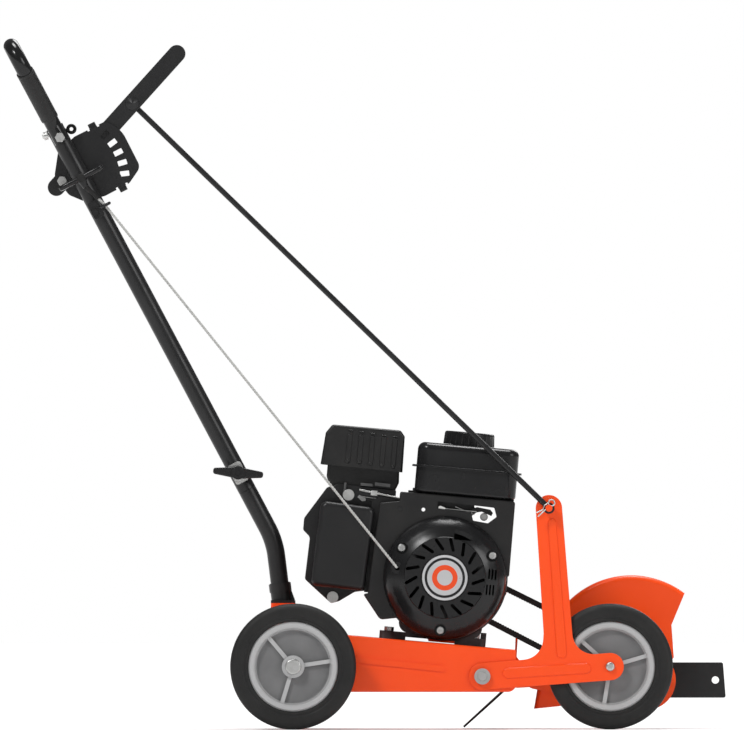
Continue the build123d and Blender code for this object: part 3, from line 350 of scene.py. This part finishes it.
def belt_rubber():
    s = Surface("belt_rubber", (0.009, 0.009, 0.009), 0.72)
    s.mottle((0.016, 0.0155, 0.015), 120.0, 5.0).uneven_gloss(150, 0.08)
    s.bumps((s.noise(1500, 3), 0.5, 0.0004),)
    return s.mat


def grip_vinyl():
    s = Surface("grip_vinyl", (0.011, 0.011, 0.011), 0.48)
    s.mottle((0.018, 0.018, 0.018), 40.0).uneven_gloss(90, 0.05)
    s.bumps((s.cells(1200), 0.3, 0.0003),)
    return s.mat


def rope_braid():
    s = Surface("braided_rope", (0.52, 0.52, 0.50), 0.85)
    s.mottle((0.36, 0.36, 0.35), 300.0, 4.0)
    s.set("Sheen Weight", 0.3).set("Sheen Roughness", 0.5)
    s.bumps((s.noise(2500, 3), 0.5, 0.0003),)
    return s.mat


def silver_foil():
    s = Surface("silver_foil", (0.62, 0.62, 0.63), 0.32, 0.55)
    s.mottle((0.55, 0.55, 0.56), 30.0).uneven_gloss(80, 0.06)
    return s.mat


def eye_bolt_finish():
    """Zinc plate on the nut and shank, black oxide on the ring."""
    s = Surface("eye_bolt_finish", (0.62, 0.62, 0.61), 0.36, 0.9)
    split = s.nodes.new("ShaderNodeSeparateXYZ")
    s.links.new(s.where, split.inputs["Vector"])
    start = centre("eye_bolt").x
    s.blend_to((0.014, 0.014, 0.014), s.spread(split.outputs["X"], 0.0, 1.0, start, start + 0.0005))
    s.uneven_gloss(200, 0.08)
    return s.mat


def paint(name, color, rough, metallic=0.0):
    """Plain paint for small parts, with a slight drift in colour and gloss."""
    s = Surface(name, color, rough, metallic)
    s.mottle(tuple(c * 0.88 for c in color), 80.0).uneven_gloss(120, 0.05)
    s.bumps((s.noise(900, 2), 0.08, 0.0002),)
    return s.mat


MATERIALS = {
    "orange_paint": orange_paint(), "black_paint": black_paint(), "zinc_steel": zinc_plate(),
    "pulley_steel": turned_steel(), "cast_alloy": cast_alloy(), "black_plastic": grained_plastic(),
    "black_sheet": black_sheet(), "tyre_rubber": tyre_rubber(),
    "belt_rubber": belt_rubber(), "grip_vinyl": grip_vinyl(), "rope_braid": rope_braid(),
}
GLOSS_BLACK, SMOOTH_PLASTIC, FOIL = gloss_black(), smooth_plastic(), silver_foil()
LABEL_ORANGE = paint("label_orange", (0.80, 0.075, 0.015), 0.35)
LABEL_DARK = paint("label_dark", (0.010, 0.010, 0.011), 0.35)
PALE_PLASTIC = paint("pale_lever_plastic", (0.72, 0.72, 0.70), 0.40)
FLAT_BOLT = paint("grey_bolt", (0.36, 0.36, 0.355), 0.45, 0.7)
DULL_PLATE = paint("dull_plated_bolt", (0.36, 0.36, 0.355), 0.5, 0.15)
OWN_FINISH = {name: SMOOTH_PLASTIC for name in ("recoil_housing", "fuel_cap", "starter_grip", "handle_knob",
                                                "fuel_tank_upper", "fuel_tank_lower")}
OWN_FINISH["handle_loop"] = GLOSS_BLACK
OWN_FINISH["eye_bolt"] = eye_bolt_finish()
OWN_FINISH.update({name: wheel_plastic(name) for name in ("front_rim", "rear_rim_left", "rear_rim_right")})
# long thin triangles of these CAD meshes would hold back the rounding of their edges
FLATTENED = ("wheel_arm", "air_cleaner_base", "fuel_tank_upper")
BEVEL_WIDTH = 0.7 * MM
OWN_BEVEL = {"recoil_housing": 0.5 * MM, "rod_clip": 0.0, "starter_rope": 0.0, "governor_linkage": 0.2 * MM}


def finish_cad_nodes():
    """Give every carried-over CAD piece its material, and round its sharp edges."""
    slots = {p["node"]: p["material_slot"] for p in frame["record"]["subparts"]}
    for name, piece in NODES.items():
        piece.data.materials.clear()
        piece.data.materials.append(OWN_FINISH.get(name) or MATERIALS[slots[name]])
        width = OWN_BEVEL.get(name, BEVEL_WIDTH)
        if width:
            add_bevel(piece, width, flatten=name in FLATTENED)


finish_cad_nodes()


# ---- places on the engine and on the handle, and simple trim ------------
CRANK = centre("recoil_housing")
CRANK_LINE = Vector((CRANK.x, 0, CRANK.z))
STEM_DIR = Vector((-0.4695, 0, 0.8829))
STEM_ACROSS = Vector((STEM_DIR.z, 0, -STEM_DIR.x))
TUBE_R = 12.7                    # handle tube, millimetres
LOOP_R = 11 * MM
LOOP_LOW, LOOP_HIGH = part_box("handle_loop")
STEM_TOP = Vector((LOOP_LOW.x + LOOP_R, 0, LOOP_HIGH.z - LOOP_R))


def on_engine(x, y, z):
    """A place in millimetres from the crank, in the tilted engine's own axes."""
    c, s = math.cos(TILT), math.sin(TILT)
    return Vector((CRANK.x + (x * c + z * s) * MM, y * MM, CRANK.z + (z * c - x * s) * MM))


def on_stem(down, y=0.0):
    """A place on the handle's centre line, millimetres below the crossbar."""
    p = STEM_TOP - STEM_DIR * down * MM
    return Vector((p.x, y * MM, p.z))


def prism(name, corners, place, y0, y1):
    """Flat piece drawn in (x, z) through place(x, y, z), between two Y planes."""
    n = len(corners)
    verts = [place(x, y, z) for y in (y0, y1) for x, z in corners]
    faces = [tuple(range(n)), tuple(range(2 * n - 1, n - 1, -1))]
    faces += [(i, i + n, (i + 1) % n + n, (i + 1) % n) for i in range(n)]
    return mesh_from(name, verts, faces)


def circle(r, steps=16, turn=0.0):
    """Corners of a regular polygon, turned by an angle in radians."""
    angles = [turn + 2 * math.pi * i / steps for i in range(steps)]
    return [(r * math.cos(a), r * math.sin(a)) for a in angles]


def trim(name, mesh, material, bevel=0.3 * MM):
    """Small flat-faced piece fixed to the frame."""
    piece = new_object(name, mesh, material, "frame", smooth=False)
    if bevel:
        add_bevel(piece, bevel)


# ---- wheels -------------------------------------------------------------
def tyre(node, body):
    """Ribbed solid tyre: rounded shoulders, sidewall ring and three tread grooves."""
    shoulder = 9 * MM
    low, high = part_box(node)
    r, half, middle = (high.z - low.z) / 2, (high.y - low.y) / 2, (low + high) / 2
    bore = (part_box(node.replace("tyre", "rim"))[1].z - middle.z) + 0.05 * MM
    side = [(bore, -half + 1.5 * MM), (bore + 1.5 * MM, -half), (bore + 4 * MM, -half),
            (bore + 4.8 * MM, -half + 0.9 * MM), (bore + 7.0 * MM, -half + 0.9 * MM),
            (bore + 7.8 * MM, -half + 0.2 * MM), (r - shoulder, -half + 0.2 * MM)]
    side += arc(r - shoulder, -half + 9.2 * MM, shoulder, -80, -8, 8)
    tread = []
    for groove in (-6.5, 0.0, 6.5):
        g = groove * MM
        tread += [(r, g - 1.2 * MM), (r - 1.6 * MM, g - 0.7 * MM), (r - 1.6 * MM, g + 0.7 * MM),
                  (r, g + 1.2 * MM)]
    other = [(x, -y) for x, y in reversed(side)]
    mesh = lathe(node + "_shape", side + tread + other, middle, (0, 1, 0), 144)
    piece = new_object(node + "_moulded", mesh, MATERIALS["tyre_rubber"], body)
    add_bevel(piece, 0.4 * MM, 2, 20)
    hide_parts(node)


tyre("rear_tyre_right", "rear_wheel_right")
tyre("rear_tyre_left", "rear_wheel_left")
tyre("front_tyre", "front_wheel")


# ---- belt ---------------------------------------------------------------
def belt():
    """V-belt with shallow cogs on its inner face, round both pulleys."""
    cog_depth = 0.5 * MM
    a, b = CRANK.copy(), centre("spindle_pulley")
    low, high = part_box("drive_belt")
    y = (low.y + high.y) / 2
    thick = 8.4 * MM
    ra, rb = a.x - low.x - thick / 2, high.x - b.x - thick / 2
    run = math.hypot(b.x - a.x, b.z - a.z)
    lean = math.atan2(b.z - a.z, b.x - a.x)
    open_angle = math.acos((ra - rb) / run)
    path, pitch = [], 4.0 * MM
    for at, r, first, last in ((a, ra, lean + open_angle, lean + 2 * math.pi - open_angle),
                               (b, rb, lean - open_angle, lean + open_angle)):
        steps = max(8, int(abs(last - first) * r / pitch * 4))
        path += [Vector((at.x + r * math.cos(first + (last - first) * i / steps), y,
                         at.z + r * math.sin(first + (last - first) * i / steps)))
                 for i in range(steps + 1)]
    dense = []
    for i, p in enumerate(path):
        q = path[(i + 1) % len(path)]
        n = max(1, round((q - p).length / (pitch / 4)))
        dense += [p.lerp(q, k / n) for k in range(n)]
    top, foot, t = 4.0 * MM, 2.7 * MM, thick / 2
    verts, faces, n = [], [], len(dense)
    for i, p in enumerate(dense):
        tangent = (dense[(i + 1) % n] - dense[i - 1]).normalized()
        out = Vector((tangent.z, 0, -tangent.x))
        cog = cog_depth if i % 4 in (0, 1) else 0.0
        for u, v in ((-top, t), (top, t), (top, t - 1.6 * MM), (foot, -t + cog), (-foot, -t + cog),
                     (-top, t - 1.6 * MM)):
            verts.append(p + out * v + Vector((0, u, 0)))
    for i in range(n):
        j = (i + 1) % n
        faces += [(i * 6 + k, i * 6 + (k + 1) % 6, j * 6 + (k + 1) % 6, j * 6 + k) for k in range(6)]
    piece = new_object("drive_belt_cogged", mesh_from("belt", verts, faces), MATERIALS["belt_rubber"],
                       "frame", smooth=False)
    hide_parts("drive_belt")


belt()


# ---- handle and its controls --------------------------------------------
def loop_grips():
    """Ribbed vinyl sleeves with end collars on both legs of the loop."""
    collar, rib_pitch = 5.4 * MM, 2.6 * MM
    foot_y = TUBE_R + LOOP_R / MM
    for side, name in ((-1, "right"), (1, "left")):
        top, foot = on_stem(0, side * 110.0), on_stem(122.0, side * foot_y)
        a, b = top.lerp(foot, 0.335), top.lerp(foot, 0.93)
        length, r, inner = (b - a).length, 12.7 * MM, LOOP_R + 0.02 * MM
        profile = [(inner, 0.0), (r - 0.6 * MM, 0.0), (r, 0.8 * MM), (r, 4.5 * MM),
                   (r - 0.5 * MM, 5.0 * MM)]
        ribs = int((length - 11 * MM) / rib_pitch)
        ribbed = length - 2 * collar
        step = ribbed / ribs
        for i in range(ribs):
            at = collar + ribbed * i / ribs
            profile += [(r - 0.5 * MM, at), (r - 0.1 * MM, at + 0.35 * step),
                        (r - 0.1 * MM, at + 0.65 * step)]
        profile += [(r - 0.5 * MM, length - 5.0 * MM), (r, length - 4.5 * MM), (r, length - 0.8 * MM),
                    (r - 0.6 * MM, length), (inner, length)]
        mesh = lathe("grip_" + name, profile, a, b - a, 48)
        piece = new_object("loop_grip_" + name, mesh, MATERIALS["grip_vinyl"], "frame")
        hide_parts("loop_grips")


loop_grips()


def rod_button():
    """Push-on button that closes the lever's slack hole round the rod's end."""
    low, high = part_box("depth_rod")
    hole = Vector((low.x + 4 * MM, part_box("depth_lever")[0].y, high.z - 4 * MM))
    profile = [(0, -0.75 * MM), (1.6 * MM, -0.75 * MM), (1.9 * MM, -0.35 * MM), (9.2 * MM, -0.35 * MM),
               (9.8 * MM, -0.05 * MM), (0, -0.05 * MM)]
    mesh = lathe("rod_button", profile, hole, (0, 1, 0), 48)
    new_object("rod_button", mesh, MATERIALS["black_paint"], "depth_lever")


rod_button()


# ---- starter rope and grip ----------------------------------------------
ROPE_R = 2.0 * MM
ROPE_LAY = 13 * MM               # one full turn of the strands


def rope_ends():
    """The straight rope's two ends, from its box."""
    low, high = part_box("starter_rope")
    run = Vector((high.x - low.x, low.y - high.y, low.z - high.z)).normalized()
    inset = Vector([ROPE_R * math.sqrt(1 - u * u) for u in run])
    return (Vector((low.x + inset.x, high.y - inset.y, high.z - inset.z)),
            Vector((high.x - inset.x, low.y + inset.y, low.z + inset.z)))


GUIDE, ROPE_EXIT = rope_ends()
GRIP = GUIDE + Vector((-34.5, 0, 38.4)) * MM


def strands(r):
    """Section of a three-strand rope."""
    angles = [2 * math.pi * i / 18 for i in range(18)]
    waves = [r * (0.86 + 0.14 * math.cos(3 * a)) for a in angles]
    return [(w * math.cos(a), w * math.sin(a)) for a, w in zip(angles, waves)]


def rope(name, a, b, step=1.2):
    n = int((b - a).length / (step * MM))
    path = [a.lerp(b, i / n) for i in range(n + 1)]
    return sweep(name, path, strands(ROPE_R), twist=2 * math.pi / ROPE_LAY)


def starter():
    """Twisted rope, moulded T grip with its neck, well and sleeve, and the short free rope end."""
    line = new_object("starter_rope_twisted", rope("rope", GUIDE, ROPE_EXIT), MATERIALS["rope_braid"],
                      "frame")
    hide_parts("starter_rope")
    along, across = STEM_DIR, STEM_ACROSS

    def at(x, y, z):
        return GRIP + across * x * MM + Vector((0, y * MM, 0)) + along * z * MM

    shape = bmesh.new()
    rows, sides = [], 16
    squareness = 0.6             # 1 is an oval, less is squarer
    # (along the bar, half width, half height)
    spans = ((-34.8, 5.5, 2.6), (-33.0, 8.2, 3.6), (-28.0, 9.6, 4.15), (-18.0, 9.9, 4.2), (-9.0, 9.3, 4.1),
             (0.0, 9.0, 4.2), (9.0, 9.3, 4.1), (18.0, 9.9, 4.2), (28.0, 9.6, 4.15), (33.0, 8.2, 3.6),
             (34.8, 5.5, 2.6))
    for x, half_y, half_z in spans:
        ring = []
        for i in range(sides):
            a = 2 * math.pi * i / sides
            cy, cz = math.cos(a), math.sin(a)
            ring.append(shape.verts.new(at(x, half_y * math.copysign(abs(cy) ** squareness, cy),
                                           half_z * math.copysign(abs(cz) ** squareness, cz))))
        rows.append(ring)
    for one, two in zip(rows, rows[1:]):
        for i in range(sides):
            j = (i + 1) % sides
            shape.faces.new((one[i], one[j], two[j], two[i]))
    shape.faces.new(rows[0])
    shape.faces.new(rows[-1])
    bmesh.ops.recalc_face_normals(shape, faces=shape.faces)
    mesh = bpy.data.meshes.new("grip_bar")
    shape.to_mesh(mesh)
    shape.free()
    moulded = new_object("starter_grip_moulded", mesh, SMOOTH_PLASTIC, "starter_grip")
    smooth = moulded.modifiers.new("smooth", "SUBSURF")
    smooth.levels = smooth.render_levels = 2
    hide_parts("starter_grip")
    neck = [(2.1, -15), (3.8, -15), (4.3, -13.5), (6.0, -6), (7.4, -3.6), (7.4, -2.5), (2.1, -2.5)]
    lathed = lathe("grip_neck", [(r * MM, h * MM) for r, h in neck], GRIP, along, 40)
    new_object("starter_grip_neck", lathed, SMOOTH_PLASTIC, "starter_grip")
    well = lathe("grip_well", [(0, -8.98 * MM), (5.6 * MM, -8.98 * MM), (6.2 * MM, -9.35 * MM),
                               (5.0 * MM, -9.6 * MM), (4.3 * MM, -9.15 * MM), (0, -9.15 * MM)],
                 GRIP, (0, 1, 0), 40)
    new_object("starter_grip_well", well, MATERIALS["belt_rubber"], "starter_grip")
    mouth = GRIP - along * 13 * MM
    sleeve_end = mouth.lerp(GUIDE, 0.66)
    # (radius in millimetres, share of the sleeve's length)
    sleeve = [(2.1, 0.0), (3.6, 0.0), (3.6, 0.25), (3.0, 0.4), (3.0, 0.75), (3.3, 0.85), (3.1, 1.0),
              (2.1, 1.0)]
    reach = (sleeve_end - mouth).length
    boot = lathe("grip_sleeve", [(r * MM, h * reach) for r, h in sleeve], mouth, sleeve_end - mouth, 32)
    new_object("starter_grip_sleeve", boot, MATERIALS["belt_rubber"], "starter_grip")
    inside = sleeve_end.lerp(mouth, 0.15)
    stub = new_object("starter_rope_end", rope("stub", GUIDE, inside, 0.6), MATERIALS["rope_braid"], None)
    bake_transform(stub)


starter()


# ---- engine trim: places in millimetres from the crank, on_engine -------
def label():
    """Plain round badge of our own: a silver disc with an orange and a dark ring."""
    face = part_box("recoil_housing")[0].y / MM
    disc_r = 32.0
    trim("badge_disc", prism("badge", circle(disc_r, 72), on_engine, face - 0.7, face + 0.1), FOIL,
         bevel=0)
    rings = (("badge_ring", 11.0, 18.0, LABEL_ORANGE, "orange_paint"),
             ("badge_rim", 25.0, 28.5, LABEL_DARK, "black_plastic"))
    for name, inner, outer, material, slot in rings:
        section = [(inner, face - 0.95), (outer, face - 0.95), (outer, face - 0.6), (inner, face - 0.6)]
        ring = lathe(name, [(r * MM, y * MM) for r, y in section], CRANK_LINE, (0, 1, 0))
        new_object(name, ring, material, "frame", smooth=False)


label()


def bolt_head(name, x, z, y, r, material, height=2.5):
    """Domed hexagon-flange bolt on the engine's near side."""
    flange = lathe(name + "_flange", [(0, 0), (r * MM, 0), (r * MM, -0.8 * MM), (r * 0.86 * MM, -1.1 * MM),
                                      (0, -1.1 * MM)], on_engine(x, y, z), (0, 1, 0), 40)
    new_object(name + "_flange", flange, material, "frame")
    corners = [(x + u, z + v) for u, v in circle(r * 0.78, 6, 0.3)]
    trim(name + "_head", prism(name, corners, on_engine, y - 1.0 - height, y - 1.0), material)


def bar(name, a, b, r, material):
    """Round bar of r millimetres radius, fixed to the frame."""
    path = [a.lerp(b, i / 8) for i in range(9)]
    piece = new_object(name, sweep(name, path, circle(r * MM, 14)), material, "frame")
    add_bevel(piece, 0.2 * MM, 1)


def controls():
    """Throttle and choke linkage seen through the slot, and the screws beside it."""
    zinc, black = MATERIALS["zinc_steel"], MATERIALS["black_sheet"]
    plate = [(-30, 90), (-30, 113), (33, 111), (33, 103), (38, 101), (38, 98), (30, 97), (29, 90)]
    trim("control_plate", prism("control_plate", plate, on_engine, -70, -68), black)
    lever = [(-17.6, 99.4), (-15, 101), (-8.5, 98.8), (-7, 97.6), (-8.5, 96.2), (-17.3, 96.0)]
    trim("choke_lever", prism("choke_lever", lever, on_engine, -88.5, -86.5), PALE_PLASTIC)
    bar("choke_rod", on_engine(-8, -85.5, 97.4), on_engine(37, -85.5, 96.8), 0.9, zinc)
    bar("throttle_rod", on_engine(6, -82.5, 101.5), on_engine(34, -82.5, 92.5), 0.8, zinc)
    arm = [(30, 90), (30, 101), (37, 103.5), (56, 101.5), (60, 97), (58, 92.5), (54, 94), (44, 97.5),
           (37, 96)]
    trim("governor_arm", prism("governor_arm", arm, on_engine, -78, -76), black)
    bolt_head("control_bolt", 47.7, 90.5, -78.5, 5.6, FLAT_BOLT, 2.8)
    bolt_head("shroud_screw", -71.4, 91.5, -90.0, 3.2, MATERIALS["black_paint"], 1.2)
    bolt_head("shroud_screw_low", -66.0, -58.0, -90.0, 3.2, MATERIALS["black_paint"], 1.2)


controls()


def starter_screen():
    """Pulley and screen behind the vents of the starter housing."""
    y = -95.0
    profile = [(12, y + 1.5), (80, y + 1.5), (80, y), (66, y), (64, y - 6), (20, y - 9), (12, y - 9)]
    mesh = lathe("starter_screen", [(r * MM, h * MM) for r, h in profile],
                 CRANK_LINE, (0, 1, 0), 64)
    new_object("starter_screen", mesh, MATERIALS["black_sheet"], "frame")


starter_screen()


def carburettor_detail():
    """Choke shaft, lever and pipes between the air cleaner and the silencer."""
    zinc, alloy = MATERIALS["zinc_steel"], MATERIALS["cast_alloy"]
    bar("choke_post", on_engine(-151.5, -52, 106), on_engine(-151.5, -52, 122), 2.0, alloy)
    strip = [(-130, 119.5), (-130, 123.6), (-113, 123.6), (-113, 119.5)]
    trim("intake_strip", prism("strip", strip, on_engine, -52, -47), alloy)
    intake = [(-110, 121.3), (-110, 126.2), (-88, 125.4), (-88, 120.5)]
    trim("intake_bar", prism("bar", intake, on_engine, -52, -47), alloy)
    arm = [(-133, 103), (-130.5, 106.5), (-121, 102), (-121, 98.5), (-126, 97.5)]
    trim("choke_arm", prism("choke_arm", arm, on_engine, -52, -50), FLAT_BOLT)
    bar("choke_link", on_engine(-131, -51, 104.5), on_engine(-104, -51, 103.0), 0.8, zinc)


carburettor_detail()


def engine_backing():
    """Baffle beside the air cleaner and the pad that the fuel tank sits on."""
    sheet = MATERIALS["black_sheet"]
    baffle = [(-112, -30), (-92, -30), (-92, 96), (-71, 98), (-71, 108), (-100, 107), (-112, 100)]
    trim("air_baffle", prism("baffle", baffle, on_engine, -65, -63), sheet)
    pad = [(-62, 112), (88, 112), (88, 120.5), (-62, 119)]
    trim("tank_pad", prism("pad", pad, on_engine, -72, -40), MATERIALS["belt_rubber"])


engine_backing()


def heat_shield_detail():
    """Dimples at the foot of the pressed ribs and rolled lips above them."""
    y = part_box("muffler_guard")[0].y / MM
    rib_pitch, rib_drop = 16.0, 0.95
    for i in range(5):
        x, z = -150.6 + rib_pitch * i, 153.6 - rib_drop * i
        dimple = lathe(f"dimple_{i}", [(0, 0), (2.7 * MM, 0), (2.2 * MM, -0.5 * MM), (1.2 * MM, -0.9 * MM),
                                       (0, -1.0 * MM)], on_engine(x, y, z), (0, 1, 0), 24)
        new_object(f"shield_dimple_{i + 1}", dimple, MATERIALS["black_sheet"], "frame")
        bar(f"shield_lip_{i + 1}", on_engine(x - 3.5, y, z + 42.5), on_engine(x + 3.5, y, z + 42.3), 0.9,
            GLOSS_BLACK)


heat_shield_detail()


# ---- deck trim ----------------------------------------------------------
ARM_PIVOT_X, ARM_PIVOT_Z = 164.5 * MM, 75 * MM


def arm_pivot_flange():
    """Flanged dome on the head of the wheel arm's pivot bolt."""
    place = Vector((ARM_PIVOT_X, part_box("frame_bolts")[0].y, ARM_PIVOT_Z))
    profile = [(0, -2.2 * MM), (5.4 * MM, -2.1 * MM), (6.4 * MM, -1.5 * MM), (6.7 * MM, -0.5 * MM),
               (11.0 * MM, -0.45 * MM), (11.4 * MM, -0.1 * MM), (11.4 * MM, 0.8 * MM), (0, 0.8 * MM)]
    dome = lathe("arm_pivot_flange", profile, place, (0, 1, 0), 48)
    piece = new_object("arm_pivot_flange", dome, DULL_PLATE, "frame")
    add_bevel(piece, 0.3 * MM)


arm_pivot_flange()


def flap():
    """Rubber flap between the corners of its CAD box, with slight waves across it."""
    low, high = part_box("debris_flap")
    top = Vector((high.x - 0.9 * MM, 0, high.z - 1.0 * MM))
    foot = Vector((low.x + 0.9 * MM, 0, low.z + 0.9 * MM))
    drop = foot - top
    across = Vector((-drop.z, 0, drop.x)).normalized()
    steps, wide, half_thick = 24, 10, 1.3 * MM
    verts, faces = [], []
    for i in range(steps + 1):
        t = i / steps
        for sheet in (1, -1):
            for k in range(wide + 1):
                y = low.y + (high.y - low.y) * k / wide
                wave = 0.5 * MM * math.sin(math.pi * t) * math.cos(5.0 * k / wide)
                p = top + drop * t + across * (sheet * half_thick + wave)
                verts.append(Vector((p.x, y, p.z)))
    row = 2 * (wide + 1)
    ring = list(range(wide + 1)) + list(range(row - 1, wide, -1))
    for i in range(steps):
        for a, b in zip(ring, ring[1:] + ring[:1]):
            faces.append((i * row + a, i * row + b, (i + 1) * row + b, (i + 1) * row + a))
    faces += [tuple(ring), tuple(steps * row + k for k in reversed(ring))]
    mesh = mesh_from("flap", verts, faces)
    piece = new_object("debris_flap_rubber", mesh, MATERIALS["belt_rubber"], "frame")
    add_bevel(piece, 0.4 * MM)
    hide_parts("debris_flap")


flap()


# ---- stage, light and camera -------------------------------------------
VIEW_TALL = 1.0571           # height of the view at the object
DISTANCE = 40.0              # far off, because the photograph shows almost no perspective
AIM = Vector((0.0087, 0.02, 0.5045))
EYE_HEIGHT = 0.20            # lower than AIM, so the camera looks up a little
PAPER_LIGHT, ROOM_LIGHT = 1.0, 0.16      # world strength to camera rays, and to all other rays
FLOOR_HALF = 60.0


def floor():
    corners = [(x * FLOOR_HALF, y * FLOOR_HALF, 0) for x, y in ((-1, -1), (1, -1), (1, 1), (-1, 1))]
    mesh = mesh_from("floor", corners, [(0, 1, 2, 3)])
    s = Surface("pale_floor", (0.93, 0.93, 0.93), 0.9)
    s.set("Specular IOR Level", 0.0)
    piece = new_object("floor", mesh, s.mat, None)


def sun(name, towards, power, angle):
    """Sun that stands in a direction and is angle degrees wide."""
    data = bpy.data.lights.new(name, "SUN")
    data.energy = power
    data.angle = math.radians(angle)
    lamp = bpy.data.objects.new(name, data)
    bpy.context.scene.collection.objects.link(lamp)
    lamp.rotation_euler = Vector(towards).to_track_quat("Z", "Y").to_euler()


def studio():
    sun("key", (-0.55, -0.75, 0.85), 1.4, 12)
    sun("fill", (0.75, -0.70, 0.40), 0.8, 25)
    sun("top", (0.05, 0.15, 1.0), 2.0, 24)
    sun("back", (0.3, 0.9, 0.5), 0.6, 25)
    world = bpy.data.worlds.new("studio")
    bpy.context.scene.world = world
    world.use_nodes = True
    nodes, links = world.node_tree.nodes, world.node_tree.links
    room = nodes["Background"]
    room.inputs["Color"].default_value = (1.0, 1.0, 1.0, 1)
    room.inputs["Strength"].default_value = ROOM_LIGHT
    paper = nodes.new("ShaderNodeBackground")
    paper.inputs["Color"].default_value = (1.0, 1.0, 1.0, 1)
    paper.inputs["Strength"].default_value = PAPER_LIGHT
    seen, mix = nodes.new("ShaderNodeLightPath"), nodes.new("ShaderNodeMixShader")
    links.new(seen.outputs["Is Camera Ray"], mix.inputs["Fac"])
    links.new(room.outputs["Background"], mix.inputs[1])
    links.new(paper.outputs["Background"], mix.inputs[2])
    links.new(mix.outputs["Shader"], nodes["World Output"].inputs["Surface"])
    bpy.context.scene.view_settings.view_transform = "Standard"


def camera():
    data = bpy.data.cameras.new("camera")
    data.sensor_width = 36.0
    data.lens = data.sensor_width * DISTANCE / VIEW_TALL
    data.clip_end = 200.0
    eye = bpy.data.objects.new("camera", data)
    bpy.context.scene.collection.objects.link(eye)
    eye.location = (AIM.x, AIM.y - DISTANCE, EYE_HEIGHT)
    eye.rotation_euler = (AIM - eye.location).to_track_quat("-Z", "Y").to_euler()
    bpy.context.scene.camera = eye


floor()
studio()
camera()
